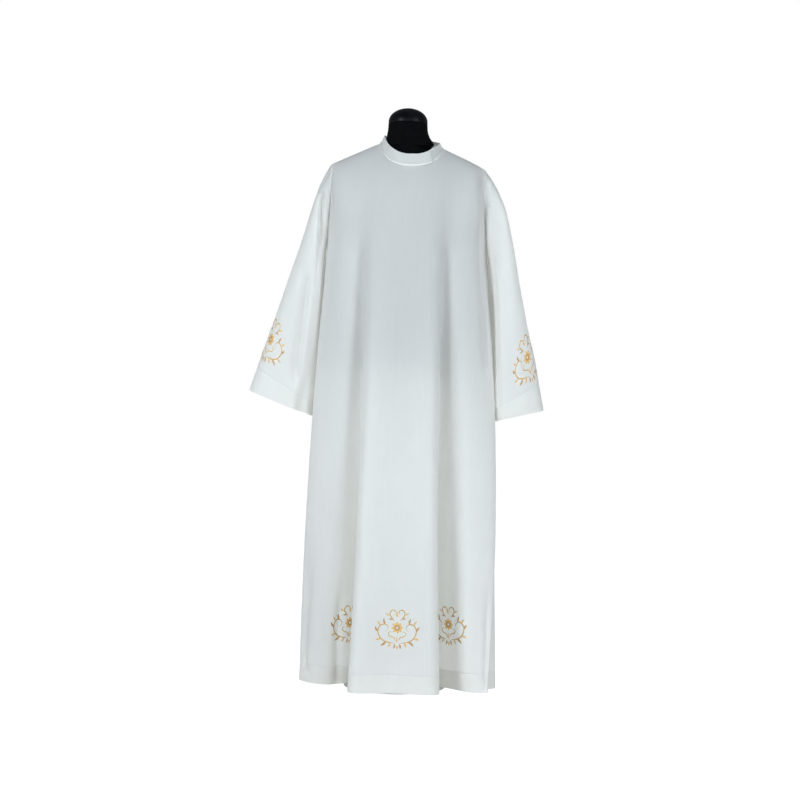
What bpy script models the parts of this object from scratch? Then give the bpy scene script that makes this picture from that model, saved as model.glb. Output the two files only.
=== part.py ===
"""Alb robe on a limbless dress form: front, back, two sleeves and a collar band, each cut from one
cloth, and the torso, neck cap, pole and base that carry them. Metres, +Z up, the front faces -Y, and
the origin is the middle of the base's underside."""

import math
from collections import namedtuple

import bmesh
import bpy
import numpy as np

# Cloth
WALL = 0.0015  # thickness of every cloth wall
SEAM_TRIM = 0.0003  # how far a panel stops short of its side seam and armhole
TOP_TRIM = 0.0006  # the same at the shoulder seam, over which the panels bend
SHOULDER_OFFSET = 0.00115  # how far outside the armhole a sleeve starts, at the shoulder
ARMPIT_OFFSET = 0.00210  # the same at the armpit, where it turns down beside the body
NECK_OFFSET = 0.00150  # how far from the neckline the collar starts, square to it
NECK_CORNER_OFFSET = 0.00340  # the same where the neckline bends down from the shoulder seams
NECK_CORNER_WIDTH = 16.0  # degrees of the neckline that this corner takes up

# Levels of the body
HEM_Z = 0.020
HIP_Z = 0.750
ARMPIT_Z = 1.200
SKIRT_ROWS = 15
YOKE_ROWS = 12

# Shoulder seams run straight from the shoulder points to the neck
SHOULDER_X = 0.215
SHOULDER_RIGHT_END = -0.208  # where the right seam ends, short of the left one's reach
SHOULDER_Z = 1.432
SHOULDER_SLOPE = 0.4526
SEAM_Y = 0.008

# Neckline ring, a little off the middle towards the wearer's left
NECK_X = 0.012
NECK_HALF_WIDTH = 0.084
NECK_FRONT_DEPTH = 0.086
NECK_BACK_DEPTH = 0.066
NECK_FRONT_Z = 1.4245
NECK_BACK_Z = 1.494
NECK_FRONT_RISE = 1.05  # how fast the front neckline climbs to the shoulder

# Each row is one upright line of the cloth: its number of strips to the next line, then its x and y at
# the armpit, hip and hem, then where it ends at the top. yoke is -2 at the right shoulder point, -1 and
# 1 where the neckline meets the shoulder seams, and 2 at the left shoulder point.
Line = namedtuple("Line", "name strips armpit hip hem yoke")
FRONT_LINES = (
    Line("seam_right", 2, (-0.216, 0.000), (-0.227, 0.004), (-0.250, -0.020), -2.00),
    Line("edge_right", 3, (-0.211, -0.036), (-0.240, -0.042), (-0.259, -0.065), -1.94),
    Line("panel_right", 3, (-0.178, -0.078), (-0.192, -0.085), (-0.206, -0.124), -1.86),
    Line("lip_right", 3, (-0.141, -0.091), (-0.147, -0.101), (-0.163, -0.119), -1.74),
    Line("valley_right", 4, (-0.118, -0.092), (-0.105, -0.097), (-0.104, -0.078), -1.60),
    Line("fold_right", 3, (-0.104, -0.112), (-0.103, -0.150), (-0.1225, -0.232), -1.42),
    Line("brow_right", 7, (-0.080, -0.124), (-0.088, -0.170), (-0.106, -0.251), -1.00),
    Line("middle", 7, (0.001, -0.130), (-0.002, -0.166), (-0.003, -0.238), 0.00),
    Line("brow_left", 3, (0.074, -0.123), (0.084, -0.168), (0.098, -0.251), 1.00),
    Line("fold_left", 4, (0.098, -0.111), (0.099, -0.150), (0.118, -0.232), 1.42),
    Line("valley_left", 3, (0.112, -0.089), (0.103, -0.094), (0.100, -0.088), 1.60),
    Line("lip_left", 3, (0.136, -0.088), (0.134, -0.103), (0.143, -0.124), 1.74),
    Line("panel_left", 3, (0.178, -0.077), (0.192, -0.105), (0.200, -0.192), 1.86),
    Line("edge_left", 2, (0.223, -0.040), (0.254, -0.070), (0.246, -0.197), 1.94),
    Line("tuck_left", 2, (0.225, -0.025), (0.254, -0.048), (0.240, -0.150), 1.96),
    Line("wing_left", 2, (0.226, -0.012), (0.250, -0.030), (0.270, -0.120), 1.98),
    Line("seam_left", 0, (0.226, 0.000), (0.240, 0.002), (0.262, -0.022), 2.00),
)
BACK_LINES = (
    Line("seam_left", 3, (0.226, 0.000), (0.240, 0.002), (0.262, -0.022), 2.00),
    Line("flank_left", 4, (0.199, 0.050), (0.214, 0.060), (0.243, 0.062), 1.80),
    Line("ridge_left", 4, (0.140, 0.090), (0.152, 0.128), (0.170, 0.188), 1.45),
    Line("valley_left", 4, (0.088, 0.096), (0.084, 0.112), (0.092, 0.126), 1.15),
    Line("ridge_middle", 4, (-0.006, 0.104), (-0.016, 0.148), (-0.022, 0.208), 0.00),
    Line("valley_right", 4, (-0.092, 0.095), (-0.092, 0.108), (-0.104, 0.118), -1.18),
    Line("ridge_right", 4, (-0.142, 0.090), (-0.156, 0.124), (-0.178, 0.182), -1.45),
    Line("flank_right", 3, (-0.195, 0.050), (-0.212, 0.060), (-0.240, 0.060), -1.80),
    Line("seam_right", 0, (-0.216, 0.000), (-0.227, 0.004), (-0.250, -0.020), -2.00),
)

# Bezier handles of the upright lines above the armpit, as (x towards the middle, y forward, z)
EDGE_LOW_HANDLE = (0.006, 0.052, 0.075)
EDGE_HIGH_HANDLE = (0.010, 0.055, -0.014)
CHEST_HANDLE = (0.000, 0.002, 0.140)
SHOULDER_HANDLE = (0.000, 0.060, -0.003)
NECK_HANDLE = (0.000, 0.030, -0.045)
BACK_NECK_HANDLE = (0.000, 0.045, -0.020)
EDGE_BLEND = 0.45  # share of the yoke scale over which edge handles give way to chest handles

# Sleeves, from below the armhole (along 0) to the cuff (along 1): x and z of the upper and of the
# under edge, half the depth from front to back, and how far the front and the back draw inwards.
SleeveRow = namedtuple("SleeveRow", "along upper under depth front back")
SLEEVE_RIGHT_ROWS = (
    SleeveRow(0.06, (-0.2270, 1.404), (-0.2212, 1.168), 0.052, 0.000, 0.006),
    SleeveRow(0.14, (-0.2420, 1.368), (-0.2240, 1.120), 0.058, 0.002, 0.012),
    SleeveRow(0.25, (-0.2560, 1.322), (-0.2272, 1.060), 0.063, 0.005, 0.018),
    SleeveRow(0.40, (-0.2850, 1.218), (-0.2313, 0.985), 0.066, 0.006, 0.022),
    SleeveRow(0.55, (-0.3180, 1.117), (-0.2342, 0.915), 0.066, 0.004, 0.022),
    SleeveRow(0.70, (-0.3560, 0.997), (-0.2365, 0.852), 0.065, 0.002, 0.020),
    SleeveRow(0.85, (-0.3880, 0.902), (-0.2380, 0.795), 0.063, -0.002, 0.016),
    SleeveRow(1.00, (-0.4190, 0.805), (-0.2395, 0.738), 0.062, -0.004, 0.012),
)
SLEEVE_LEFT_ROWS = (
    SleeveRow(0.06, (0.2330, 1.406), (0.2325, 1.168), 0.052, 0.000, 0.006),
    SleeveRow(0.14, (0.2500, 1.378), (0.2385, 1.125), 0.060, 0.002, 0.014),
    SleeveRow(0.25, (0.2740, 1.322), (0.2480, 1.065), 0.068, 0.006, 0.026),
    SleeveRow(0.40, (0.2980, 1.218), (0.2525, 0.985), 0.074, 0.010, 0.034),
    SleeveRow(0.55, (0.3180, 1.109), (0.2550, 0.915), 0.078, 0.010, 0.036),
    SleeveRow(0.70, (0.3430, 0.992), (0.2570, 0.852), 0.080, 0.010, 0.034),
    SleeveRow(0.85, (0.3680, 0.892), (0.2590, 0.793), 0.080, 0.009, 0.030),
    SleeveRow(1.00, (0.3925, 0.768), (0.2605, 0.736), 0.080, 0.008, 0.026),
)
SLEEVE_RINGS = 16
SLEEVE_CROWDING = 1.15  # above 1, the rings stand closer together near the armhole
# A lower number gives the rings of the sleeve at the wearer's right, -1, or left, 1, tighter corners.
SLEEVE_SQUARENESS = {-1: 0.74, 1: 0.55}
SLEEVE_OPENED = 0.30  # share of its length over which a sleeve rounds out from the armhole
# Long folds of a sleeve: where round it (0 upper edge, 90 front, 180 under edge, 270 back), how wide,
# how deep at the cuff, and where along the sleeve it starts.
Fold = namedtuple("Fold", "angle width depth starts")
SLEEVE_RIGHT_FOLDS = (
    Fold(128, 17, -0.012, 0.20),
    Fold(104, 16, 0.006, 0.20),
    Fold(238, 22, -0.012, 0.25),
    Fold(300, 24, -0.009, 0.35),
)
SLEEVE_LEFT_FOLDS = (
    Fold(60, 24, -0.006, 0.35),
    Fold(164, 15, 0.005, 0.10),
    Fold(194, 15, -0.007, 0.10),
    Fold(236, 22, -0.013, 0.20),
    Fold(296, 26, -0.010, 0.30),
)

# Collar band
COLLAR_HEIGHTS = (
    # degrees from the front towards the wearer's left, how high the band stands there
    (-180, 0.024),
    (-90, 0.022),
    (-45, 0.031),
    (0, 0.034),
    (55, 0.031),
    (90, 0.015),
    (130, 0.018),
    (180, 0.024),
)
COLLAR_LEAN = 0.42  # how far the band leans in for each metre it rises
COLLAR_START = 43.0  # degrees from the front towards the wearer's left, the outer end
COLLAR_LAP = 24.0  # degrees by which the outer end covers the inner end
COLLAR_LAP_GAP = 0.0026  # from the middle of one layer to the middle of the other
COLLAR_STRIPS = 60
COLLAR_ROWS = 3

# Dress form: level, half width, half depth to the front, half depth to the back
TORSO_SECTIONS = (
    # z      width   front   back
    (0.846, 0.1400, 0.097, 0.090),
    (0.850, 0.1430, 0.100, 0.093),
    (0.920, 0.1430, 0.100, 0.094),
    (1.020, 0.1380, 0.098, 0.084),
    (1.110, 0.1350, 0.098, 0.076),
    (1.200, 0.1350, 0.102, 0.078),
    (1.270, 0.1430, 0.107, 0.082),
    (1.330, 0.1650, 0.104, 0.084),
    (1.380, 0.1980, 0.086, 0.074),
    (1.410, 0.2030, 0.066, 0.060),
    (1.430, 0.1970, 0.044, 0.044),
)
NECK_SECTIONS = (
    # z      width   front   back   how far its middle lies towards the wearer's left
    (1.4860, 0.0635, 0.051, 0.046, 0.0020),
    (1.4910, 0.0665, 0.051, 0.046, 0.0040),
    (1.4970, 0.0680, 0.052, 0.046, 0.0055),
    (1.5050, 0.0635, 0.052, 0.046, 0.0035),
    (1.5150, 0.0595, 0.052, 0.047, 0.0012),
    (1.5300, 0.0555, 0.052, 0.048, 0.0),
    (1.5500, 0.0540, 0.052, 0.049, 0.0),
)
# Sections that follow the shoulder seams from below: their half depth, and how far they lie under the
# middle of the cloth. The neck stands through them.
RIDGE_SECTIONS = (
    # z      depth  below
    (1.4520, 0.030, 0.0016),
    (1.4650, 0.024, 0.0016),
    (1.4760, 0.019, 0.0018),
    (1.4810, 0.016, 0.0080),
)
NECK_ROOT = (0.0580, 0.050)
TORSO_SQUARENESS = 0.60  # 1 is a plain oval, and less is flatter with tighter corners
TORSO_SQUARE_TO = 1.20
TORSO_SQUARE_FADE = 0.12
ROUND_SIDES = 40  # sides of the torso and of the turned pieces
CAP_RADIUS = 0.0540
CAP_RIM_Z = (1.5503, 1.5560)
CAP_TOP_Z = 1.5935
CAP_STEPS = 6  # from the middle of its dome to its rim
POLE_RADIUS = 0.0125
BASE_RADIUS = 0.140
BASE_THICKNESS = 0.010
BASE_HUB_RADIUS = 0.028
BASE_HUB_TOP = 0.034
FIT_GAP = 0.0003
AXIS_MERGE = 0.00001  # turned pieces close on their axis within this distance

CLOTH_COLOUR = (0.86, 0.89, 0.90, 1.0)
FORM_COLOUR = (0.004, 0.004, 0.005, 1.0)
STAND_COLOUR = (0.620, 0.640, 0.650, 1.0)


def quadratic(level, armpit, hip, hem):
    """The value at this level of the parabola through the three named levels."""
    at_armpit = (level - HIP_Z) * (level - HEM_Z) / ((ARMPIT_Z - HIP_Z) * (ARMPIT_Z - HEM_Z))
    at_hip = (level - ARMPIT_Z) * (level - HEM_Z) / ((HIP_Z - ARMPIT_Z) * (HIP_Z - HEM_Z))
    at_hem = (level - ARMPIT_Z) * (level - HIP_Z) / ((HEM_Z - ARMPIT_Z) * (HEM_Z - HIP_Z))
    return at_armpit * armpit + at_hip * hip + at_hem * hem


def smooth(value):
    value = min(max(value, 0.0), 1.0)
    return value * value * (3 - 2 * value)


def through(before, start, end, after, part):
    """The point at this share of the way from start to end on the smooth curve through all four."""
    knots = [0.0]
    for here, there in ((before, start), (start, end), (end, after)):
        knots.append(knots[-1] + math.sqrt(np.linalg.norm(there - here)))
    at = knots[1] + part * (knots[2] - knots[1])

    def between(one, two, low, high):
        return ((knots[high] - at) * one + (at - knots[low]) * two) / (knots[high] - knots[low])

    first = between(before, start, 0, 1)
    second = between(start, end, 1, 2)
    third = between(end, after, 2, 3)
    return between(between(first, second, 0, 2), between(second, third, 1, 3), 1, 2)


def ring_lines():
    """The lines all round the body, from the right seam over the front and back to it again."""
    return FRONT_LINES[:-1] + BACK_LINES[:-1]


def body_row(level, lines):
    """The points of one level, from the first to the last of these lines, at this height."""
    points = []
    for line in ring_lines():
        x = quadratic(level, line.armpit[0], line.hip[0], line.hem[0])
        y = quadratic(level, line.armpit[1], line.hip[1], line.hem[1])
        points.append(np.array((x, y, level)))
    start = 0 if lines is FRONT_LINES else len(FRONT_LINES) - 1
    row = []
    for step, line in enumerate(lines[:-1]):
        near = [points[(start + step + shift) % len(points)] for shift in (-1, 0, 1, 2)]
        for strip in range(line.strips):
            row.append(through(*near, strip / line.strips))
    row.append(points[(start + len(lines) - 1) % len(points)])
    return row


def yoke_scale(lines):
    """Where each strip of these lines ends at the top."""
    scale = []
    for line, following in zip(lines[:-1], lines[1:]):
        for strip in range(line.strips):
            scale.append(line.yoke + (following.yoke - line.yoke) * strip / line.strips)
    return scale + [lines[-1].yoke]


def seam_height(x):
    return SHOULDER_Z + (SHOULDER_X - abs(x)) * SHOULDER_SLOPE


def neck_point(angle, grow=0.0):
    """A point of the neckline: angle 0 at the front, 90 at the wearer's left, 180 at the back."""
    turn = math.radians(angle)
    forward = math.cos(turn)
    x = NECK_X + (NECK_HALF_WIDTH + grow) * math.sin(turn)
    side = seam_height(NECK_X + math.copysign(NECK_HALF_WIDTH, math.sin(turn)))
    mean = (seam_height(NECK_X + NECK_HALF_WIDTH) + seam_height(NECK_X - NECK_HALF_WIDTH)) / 2
    side = mean + (side - mean) * abs(math.sin(turn))
    if forward > 0:
        y = SEAM_Y - (NECK_FRONT_DEPTH + grow) * forward
        z = NECK_FRONT_Z + (side - NECK_FRONT_Z) * (1 - forward) ** NECK_FRONT_RISE
    else:
        y = SEAM_Y - (NECK_BACK_DEPTH + grow) * forward
        z = side + (NECK_BACK_Z - side) * smooth(-forward)
    return np.array((x, y, z))


def top_point(yoke, facing):
    """Where a line ends: on a shoulder seam, or on the front or back neckline."""
    if abs(yoke) <= 1:
        angle = 90 * yoke if facing < 0 else 180 - 90 * yoke
        return neck_point(angle)
    neck_x = NECK_X + math.copysign(NECK_HALF_WIDTH, yoke)
    shoulder_x = SHOULDER_X if yoke > 0 else SHOULDER_RIGHT_END
    x = neck_x + (shoulder_x - neck_x) * (abs(yoke) - 1)
    return np.array((x, SEAM_Y, seam_height(x)))


def handle(values, yoke, facing):
    inward, forward, up = values
    return np.array((-math.copysign(inward, yoke), facing * forward, up))


def yoke_line(low, yoke, facing, share):
    """A point on the upright line from the armpit level to the shoulder or neck."""
    top = top_point(yoke, facing)
    inner = smooth((2 - abs(yoke)) / EDGE_BLEND)
    neck = math.cos(math.radians(90 * min(abs(yoke), 1)))
    neck_handle = NECK_HANDLE if facing < 0 else BACK_NECK_HANDLE
    above = handle(CHEST_HANDLE, yoke, facing) * inner + handle(EDGE_LOW_HANDLE, yoke, facing) * (1 - inner)
    below = handle(SHOULDER_HANDLE, yoke, facing) * (1 - neck) + handle(neck_handle, yoke, facing) * neck
    below = below * inner + handle(EDGE_HIGH_HANDLE, yoke, facing) * (1 - inner)
    rest = 1 - share
    return (
        rest**3 * low
        + 3 * rest**2 * share * (low + above)
        + 3 * rest * share**2 * (top + below)
        + share**3 * top
    )


def trim(points, distance):
    """Moves both ends of this row of points in along it."""
    for end, following in ((0, 1), (-1, -2)):
        step = points[following] - points[end]
        points[end] = points[end] + step * (distance / np.linalg.norm(step))


def body_grid(lines, facing):
    rows = []
    for level in np.linspace(HEM_Z, ARMPIT_Z, SKIRT_ROWS):
        rows.append(body_row(level, lines))
    scale = yoke_scale(lines)
    chest = rows[-1]
    for row in range(1, YOKE_ROWS + 1):
        share = row / YOKE_ROWS
        rows.append([yoke_line(low, yoke, facing, share) for low, yoke in zip(chest, scale)])
    for row in rows:
        trim(row, SEAM_TRIM)
    columns = list(zip(*rows))
    for number, column in enumerate(columns):
        step = column[-2] - column[-1]
        moved = column[-1] + step * (TOP_TRIM / np.linalg.norm(step))
        columns[number] = column[:-1] + (moved,)
    return [list(row) for row in zip(*columns)]


def armhole(side):
    """The armhole all round: shoulder, front, armpit, back. side is -1 at the wearer's right."""
    seam = FRONT_LINES[0] if side < 0 else FRONT_LINES[-1]
    low = np.array((*seam.armpit, ARMPIT_Z))
    shares = [row / YOKE_ROWS for row in range(YOKE_ROWS + 1)]
    front = [yoke_line(low, 2 * side, -1, share) for share in reversed(shares)]
    back = [yoke_line(low, 2 * side, 1, share) for share in shares]
    return front + back[1:-1]


def sewn_offset(step):
    """How far outside the armhole the sleeve starts at this point of it."""
    share = (1 + math.cos(math.pi * step / YOKE_ROWS)) / 2
    return SHOULDER_OFFSET * share + ARMPIT_OFFSET * (1 - share)


def fold_depth(angle, along, folds):
    depth = 0.0
    for fold in folds:
        away = (angle - fold.angle + 180) % 360 - 180
        grown = smooth((along - fold.starts) / (1 - fold.starts))
        depth += fold.depth * math.exp(-((away / fold.width) ** 2)) * grown
    return depth


def sleeve_edge(along, rows, edge, start):
    """The point of the upper or under edge here, and how far it has moved from its start."""
    places = [0.0] + [row.along for row in rows]
    x = np.interp(along, places, [start[0]] + [getattr(row, edge)[0] for row in rows])
    z = np.interp(along, places, [start[2]] + [getattr(row, edge)[1] for row in rows])
    return np.array((x, 0.0, z)), np.array((x - start[0], 0.0, z - start[2]))


def squared(value, side):
    """Turns the sine or cosine of a round ring into that of a flatter one with tighter corners."""
    return math.copysign(abs(value) ** SLEEVE_SQUARENESS[side], value)


def sleeve_ring(side, along, rows, folds):
    """One ring of a sleeve, with as many points as the armhole, whose form it takes where it is sewn on."""
    hole = []
    for step, point in enumerate(armhole(side)):
        hole.append(point + np.array((side * sewn_offset(step), 0.0, 0.0)))
    count = len(hole)
    upper, upper_move = sleeve_edge(along, rows, "upper", hole[0])
    under, under_move = sleeve_edge(along, rows, "under", hole[count // 2])
    places = [row.along for row in rows]
    depth = np.interp(along, places, [row.depth for row in rows])
    front = np.interp(along, places, [row.front for row in rows])
    back = np.interp(along, places, [row.back for row in rows])
    half = (upper - under) / 2
    outward = half / np.linalg.norm(half)
    opened = smooth(along / SLEEVE_OPENED)
    ring = []
    for number, sewn in enumerate(hole):
        angle = 360 * number / count
        turn = math.radians(angle)
        swell = fold_depth(angle, along, folds)
        reach = (np.linalg.norm(half) + swell) * squared(math.cos(turn), side)
        across = -(depth + swell) * squared(math.sin(turn), side)
        lean = (front if across < 0 else back) * (across / depth) ** 2
        leaning = np.array((-side * lean, across, 0.0))
        round_form = (upper + under) / 2 + outward * reach + leaning
        share = (1 + math.cos(turn)) / 2
        hole_form = sewn + upper_move * share + under_move * (1 - share)
        ring.append(hole_form * (1 - opened) + round_form * opened)
    return ring


def sleeve_grid(side, rows, folds):
    grid = []
    for number in range(SLEEVE_RINGS):
        along = (number / (SLEEVE_RINGS - 1)) ** SLEEVE_CROWDING
        ring = sleeve_ring(side, along, rows, folds)
        grid.append(ring + ring[:1])
    return grid


def collar_foot(angle, lap):
    """Where the band starts, square to the neckline that it is sewn to."""
    along = neck_point(angle + 1) - neck_point(angle - 1)
    along /= np.linalg.norm(along)
    foot = neck_point(angle, lap)
    rise = neck_point(angle, lap - COLLAR_LEAN) + np.array((0.0, 0.0, 1.0)) - foot
    rise -= along * np.dot(rise, along)
    from_side = abs(abs((angle + 180) % 360 - 180) - 90)
    corner = math.exp(-((from_side / NECK_CORNER_WIDTH) ** 2))
    offset = NECK_OFFSET + (NECK_CORNER_OFFSET - NECK_OFFSET) * corner
    return foot + rise * (offset / np.linalg.norm(rise))


def collar_grid():
    """The band from its outer end round the front, right side, back and left side to its inner end."""
    grid = []
    turn = 360 + COLLAR_LAP
    around, heights = zip(*COLLAR_HEIGHTS)
    for row in range(COLLAR_ROWS + 1):
        points = []
        for strip in range(COLLAR_STRIPS + 1):
            share = strip / COLLAR_STRIPS
            angle = COLLAR_START - turn * share
            lap = COLLAR_LAP_GAP * (0.5 - share)
            rise = np.interp((angle + 180) % 360 - 180, around, heights) * row / COLLAR_ROWS
            point = neck_point(angle, lap - COLLAR_LEAN * rise) + np.array((0.0, 0.0, rise))
            points.append(point if row else collar_foot(angle, lap))
        grid.append(points)
    return grid


def material(name, colour, roughness, metallic=0.0):
    made = bpy.data.materials.new(name)
    made.use_nodes = True
    shader = made.node_tree.nodes["Principled BSDF"]
    shader.inputs["Base Color"].default_value = colour
    shader.inputs["Roughness"].default_value = roughness
    shader.inputs["Metallic"].default_value = metallic
    made.diffuse_color = colour
    return made


def mesh_object(name, build, finish, collection):
    mesh = bpy.data.meshes.new(name)
    build.to_mesh(mesh)
    build.free()
    mesh.shade_smooth()
    mesh.materials.append(finish)
    made = bpy.data.objects.new(name, mesh)
    collection.objects.link(made)
    return made


def cloth(name, grid, closed, finish, collection):
    """A cloth wall: the grid of points as an open surface, thickened evenly to both sides."""
    build = bmesh.new()
    rows = []
    for row in grid:
        points = row[:-1] if closed else row
        made = [build.verts.new(point) for point in points]
        rows.append(made + made[:1] if closed else made)
    for lower, upper in zip(rows[:-1], rows[1:]):
        for left in range(len(lower) - 1):
            build.faces.new((lower[left], lower[left + 1], upper[left + 1], upper[left]))
    made = mesh_object(name, build, finish, collection)
    wall = made.modifiers.new("Wall", "SOLIDIFY")
    wall.thickness = WALL
    wall.offset = 0.0
    return made


def torso_ring(level, width, front, back, shift=0.0):
    """An oval, swollen where the root of the neck stands out of it."""
    power = TORSO_SQUARENESS
    power += (1 - TORSO_SQUARENESS) * smooth((level - TORSO_SQUARE_TO) / TORSO_SQUARE_FADE)
    ring = []
    for side in range(ROUND_SIDES):
        turn = math.tau * side / ROUND_SIDES
        depth = back if math.sin(turn) > 0 else front
        x = width * math.copysign(abs(math.cos(turn)) ** power, math.cos(turn))
        y = depth * math.copysign(abs(math.sin(turn)) ** power, math.sin(turn))
        swell = 1.0
        if TORSO_SECTIONS[-1][0] < level <= RIDGE_SECTIONS[-1][0]:
            swell = max(1.0, 1 / math.hypot(x / NECK_ROOT[0], y / NECK_ROOT[1]))
        ring.append((shift + x * swell, SEAM_Y + y * swell, level))
    return ring


def torso_sections():
    """All sections of the torso from its underside to the top of the neck."""
    ridge = []
    for level, depth, below in RIDGE_SECTIONS:
        width = SHOULDER_X - (level + below - SHOULDER_Z) / SHOULDER_SLOPE
        ridge.append((level, width, depth, depth))
    return TORSO_SECTIONS + tuple(ridge) + NECK_SECTIONS


def torso(finish, collection):
    build = bmesh.new()
    rings = [[build.verts.new(point) for point in torso_ring(*section)] for section in torso_sections()]
    for lower, upper in zip(rings[:-1], rings[1:]):
        for side in range(ROUND_SIDES):
            following = (side + 1) % ROUND_SIDES
            build.faces.new((lower[side], lower[following], upper[following], upper[side]))
    build.faces.new(reversed(rings[0]))
    build.faces.new(rings[-1])
    return mesh_object("form_torso", build, finish, collection)


def turned(name, profile, finish, collection):
    """A solid of revolution about the upright axis. The profile runs down its outer side."""
    mesh = bpy.data.meshes.new(name)
    edges = [(number, number + 1) for number in range(len(profile) - 1)]
    mesh.from_pydata([(radius, 0.0, level) for radius, level in profile], edges, [])
    mesh.materials.append(finish)
    made = bpy.data.objects.new(name, mesh)
    collection.objects.link(made)
    turning = made.modifiers.new("Turn", "SCREW")
    turning.steps = turning.render_steps = ROUND_SIDES
    turning.use_merge_vertices = True
    turning.merge_threshold = AXIS_MERGE
    turning.use_smooth_shade = True
    return made


def neck_cap(finish, collection):
    rim, shoulder = CAP_RIM_Z
    profile = [(0.0, CAP_TOP_Z)]
    for step in range(1, CAP_STEPS + 1):
        turn = math.pi / 2 * step / CAP_STEPS
        level = shoulder + (CAP_TOP_Z - shoulder) * math.cos(turn)
        profile.append((CAP_RADIUS * math.sin(turn), level))
    profile += [(CAP_RADIUS, rim), (0.0, rim)]
    made = turned("form_neck_cap", profile, finish, collection)
    made.location.y = SEAM_Y
    return made


def stand(finish, collection):
    top = TORSO_SECTIONS[0][0] - FIT_GAP
    foot = BASE_HUB_TOP + FIT_GAP
    profile = [(0.0, top), (POLE_RADIUS, top), (POLE_RADIUS, foot), (0.0, foot)]
    turned("form_pole", profile, finish, collection)
    bevel = BASE_THICKNESS / 2
    profile = [
        (0.0, BASE_HUB_TOP),
        (BASE_HUB_RADIUS, BASE_HUB_TOP),
        (BASE_HUB_RADIUS, BASE_THICKNESS),
        (BASE_RADIUS - bevel, BASE_THICKNESS),
        (BASE_RADIUS, bevel),
        (BASE_RADIUS, 0.0),
        (0.0, 0.0),
    ]
    turned("form_base", profile, finish, collection)


def main():
    for old in list(bpy.data.objects):
        bpy.data.objects.remove(old)
    collection = bpy.data.collections.new("alb_robe")
    bpy.context.scene.collection.children.link(collection)
    white = material("alb_cloth", CLOTH_COLOUR, 0.85)
    black = material("form_black", FORM_COLOUR, 0.45)
    steel = material("form_steel", STAND_COLOUR, 0.35, 0.8)
    cloth("front_panel", body_grid(FRONT_LINES, -1), False, white, collection)
    cloth("back_panel", body_grid(BACK_LINES, 1), False, white, collection)
    cloth("sleeve_right", sleeve_grid(-1, SLEEVE_RIGHT_ROWS, SLEEVE_RIGHT_FOLDS), True, white, collection)
    cloth("sleeve_left", sleeve_grid(1, SLEEVE_LEFT_ROWS, SLEEVE_LEFT_FOLDS), True, white, collection)
    cloth("collar_band", collar_grid(), False, white, collection)
    torso(black, collection)
    neck_cap(black, collection)
    stand(steel, collection)


main()
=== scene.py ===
"""Looks of the alb robe on its dress form: thin cloth shells with folds, hems, seams and gold motifs.
Metres, +Z up, the front faces -Y, and the origin is the middle of the base's underside."""

import math
from collections import namedtuple

import bpy
import numpy as np
from mathutils import Matrix, Vector

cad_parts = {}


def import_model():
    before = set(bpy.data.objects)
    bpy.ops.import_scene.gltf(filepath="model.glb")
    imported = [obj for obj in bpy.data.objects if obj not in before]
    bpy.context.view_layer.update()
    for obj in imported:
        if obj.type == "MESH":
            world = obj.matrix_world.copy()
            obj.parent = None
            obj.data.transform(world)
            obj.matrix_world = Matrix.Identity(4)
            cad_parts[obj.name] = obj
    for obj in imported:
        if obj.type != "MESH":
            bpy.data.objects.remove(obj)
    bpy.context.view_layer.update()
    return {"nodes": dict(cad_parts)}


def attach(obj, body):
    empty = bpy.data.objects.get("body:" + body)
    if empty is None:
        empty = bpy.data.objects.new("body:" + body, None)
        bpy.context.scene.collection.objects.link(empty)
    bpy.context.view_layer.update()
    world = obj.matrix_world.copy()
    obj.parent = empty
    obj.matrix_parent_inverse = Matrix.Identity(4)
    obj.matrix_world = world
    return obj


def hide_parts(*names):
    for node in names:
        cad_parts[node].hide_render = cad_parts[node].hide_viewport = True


# -------- camera and light
CAMERA_PLACE = (-0.0035, -4.5, 0.7875)
CAMERA_ROLL = 1.417  # degrees by which the picture's content leans to the right
VIEW_WIDTH = 2.208  # metres across the picture at the middle of the object
SENSOR = 36.0
CAMERA_REACH = 100.0

# -------- the robe's form, close to its solids'
HEM_Z = 0.020
HIP_Z = 0.750
ARMPIT_Z = 1.200
SHOULDER_X = 0.215
SHOULDER_RIGHT_END = -0.208
SHOULDER_Z = 1.432
SHOULDER_SLOPE = 0.4526
SEAM_Y = 0.008
NECK_X = 0.012
NECK_HALF_WIDTH = 0.084
NECK_FRONT_DEPTH = 0.086
NECK_BACK_DEPTH = 0.066
NECK_FRONT_Z = 1.4245
NECK_BACK_Z = 1.494
NECK_FRONT_RISE = 1.05
SEAM_TRIM = 0.0001  # how far a panel stops short of its side seams and armholes
TOP_TRIM = 0.0002  # and of the shoulder seams and neckline
SHOULDER_OFFSET = 0.0004  # how far outside the panels a sleeve starts, at the shoulder
ARMPIT_OFFSET = 0.0008  # and at the armpit

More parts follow.
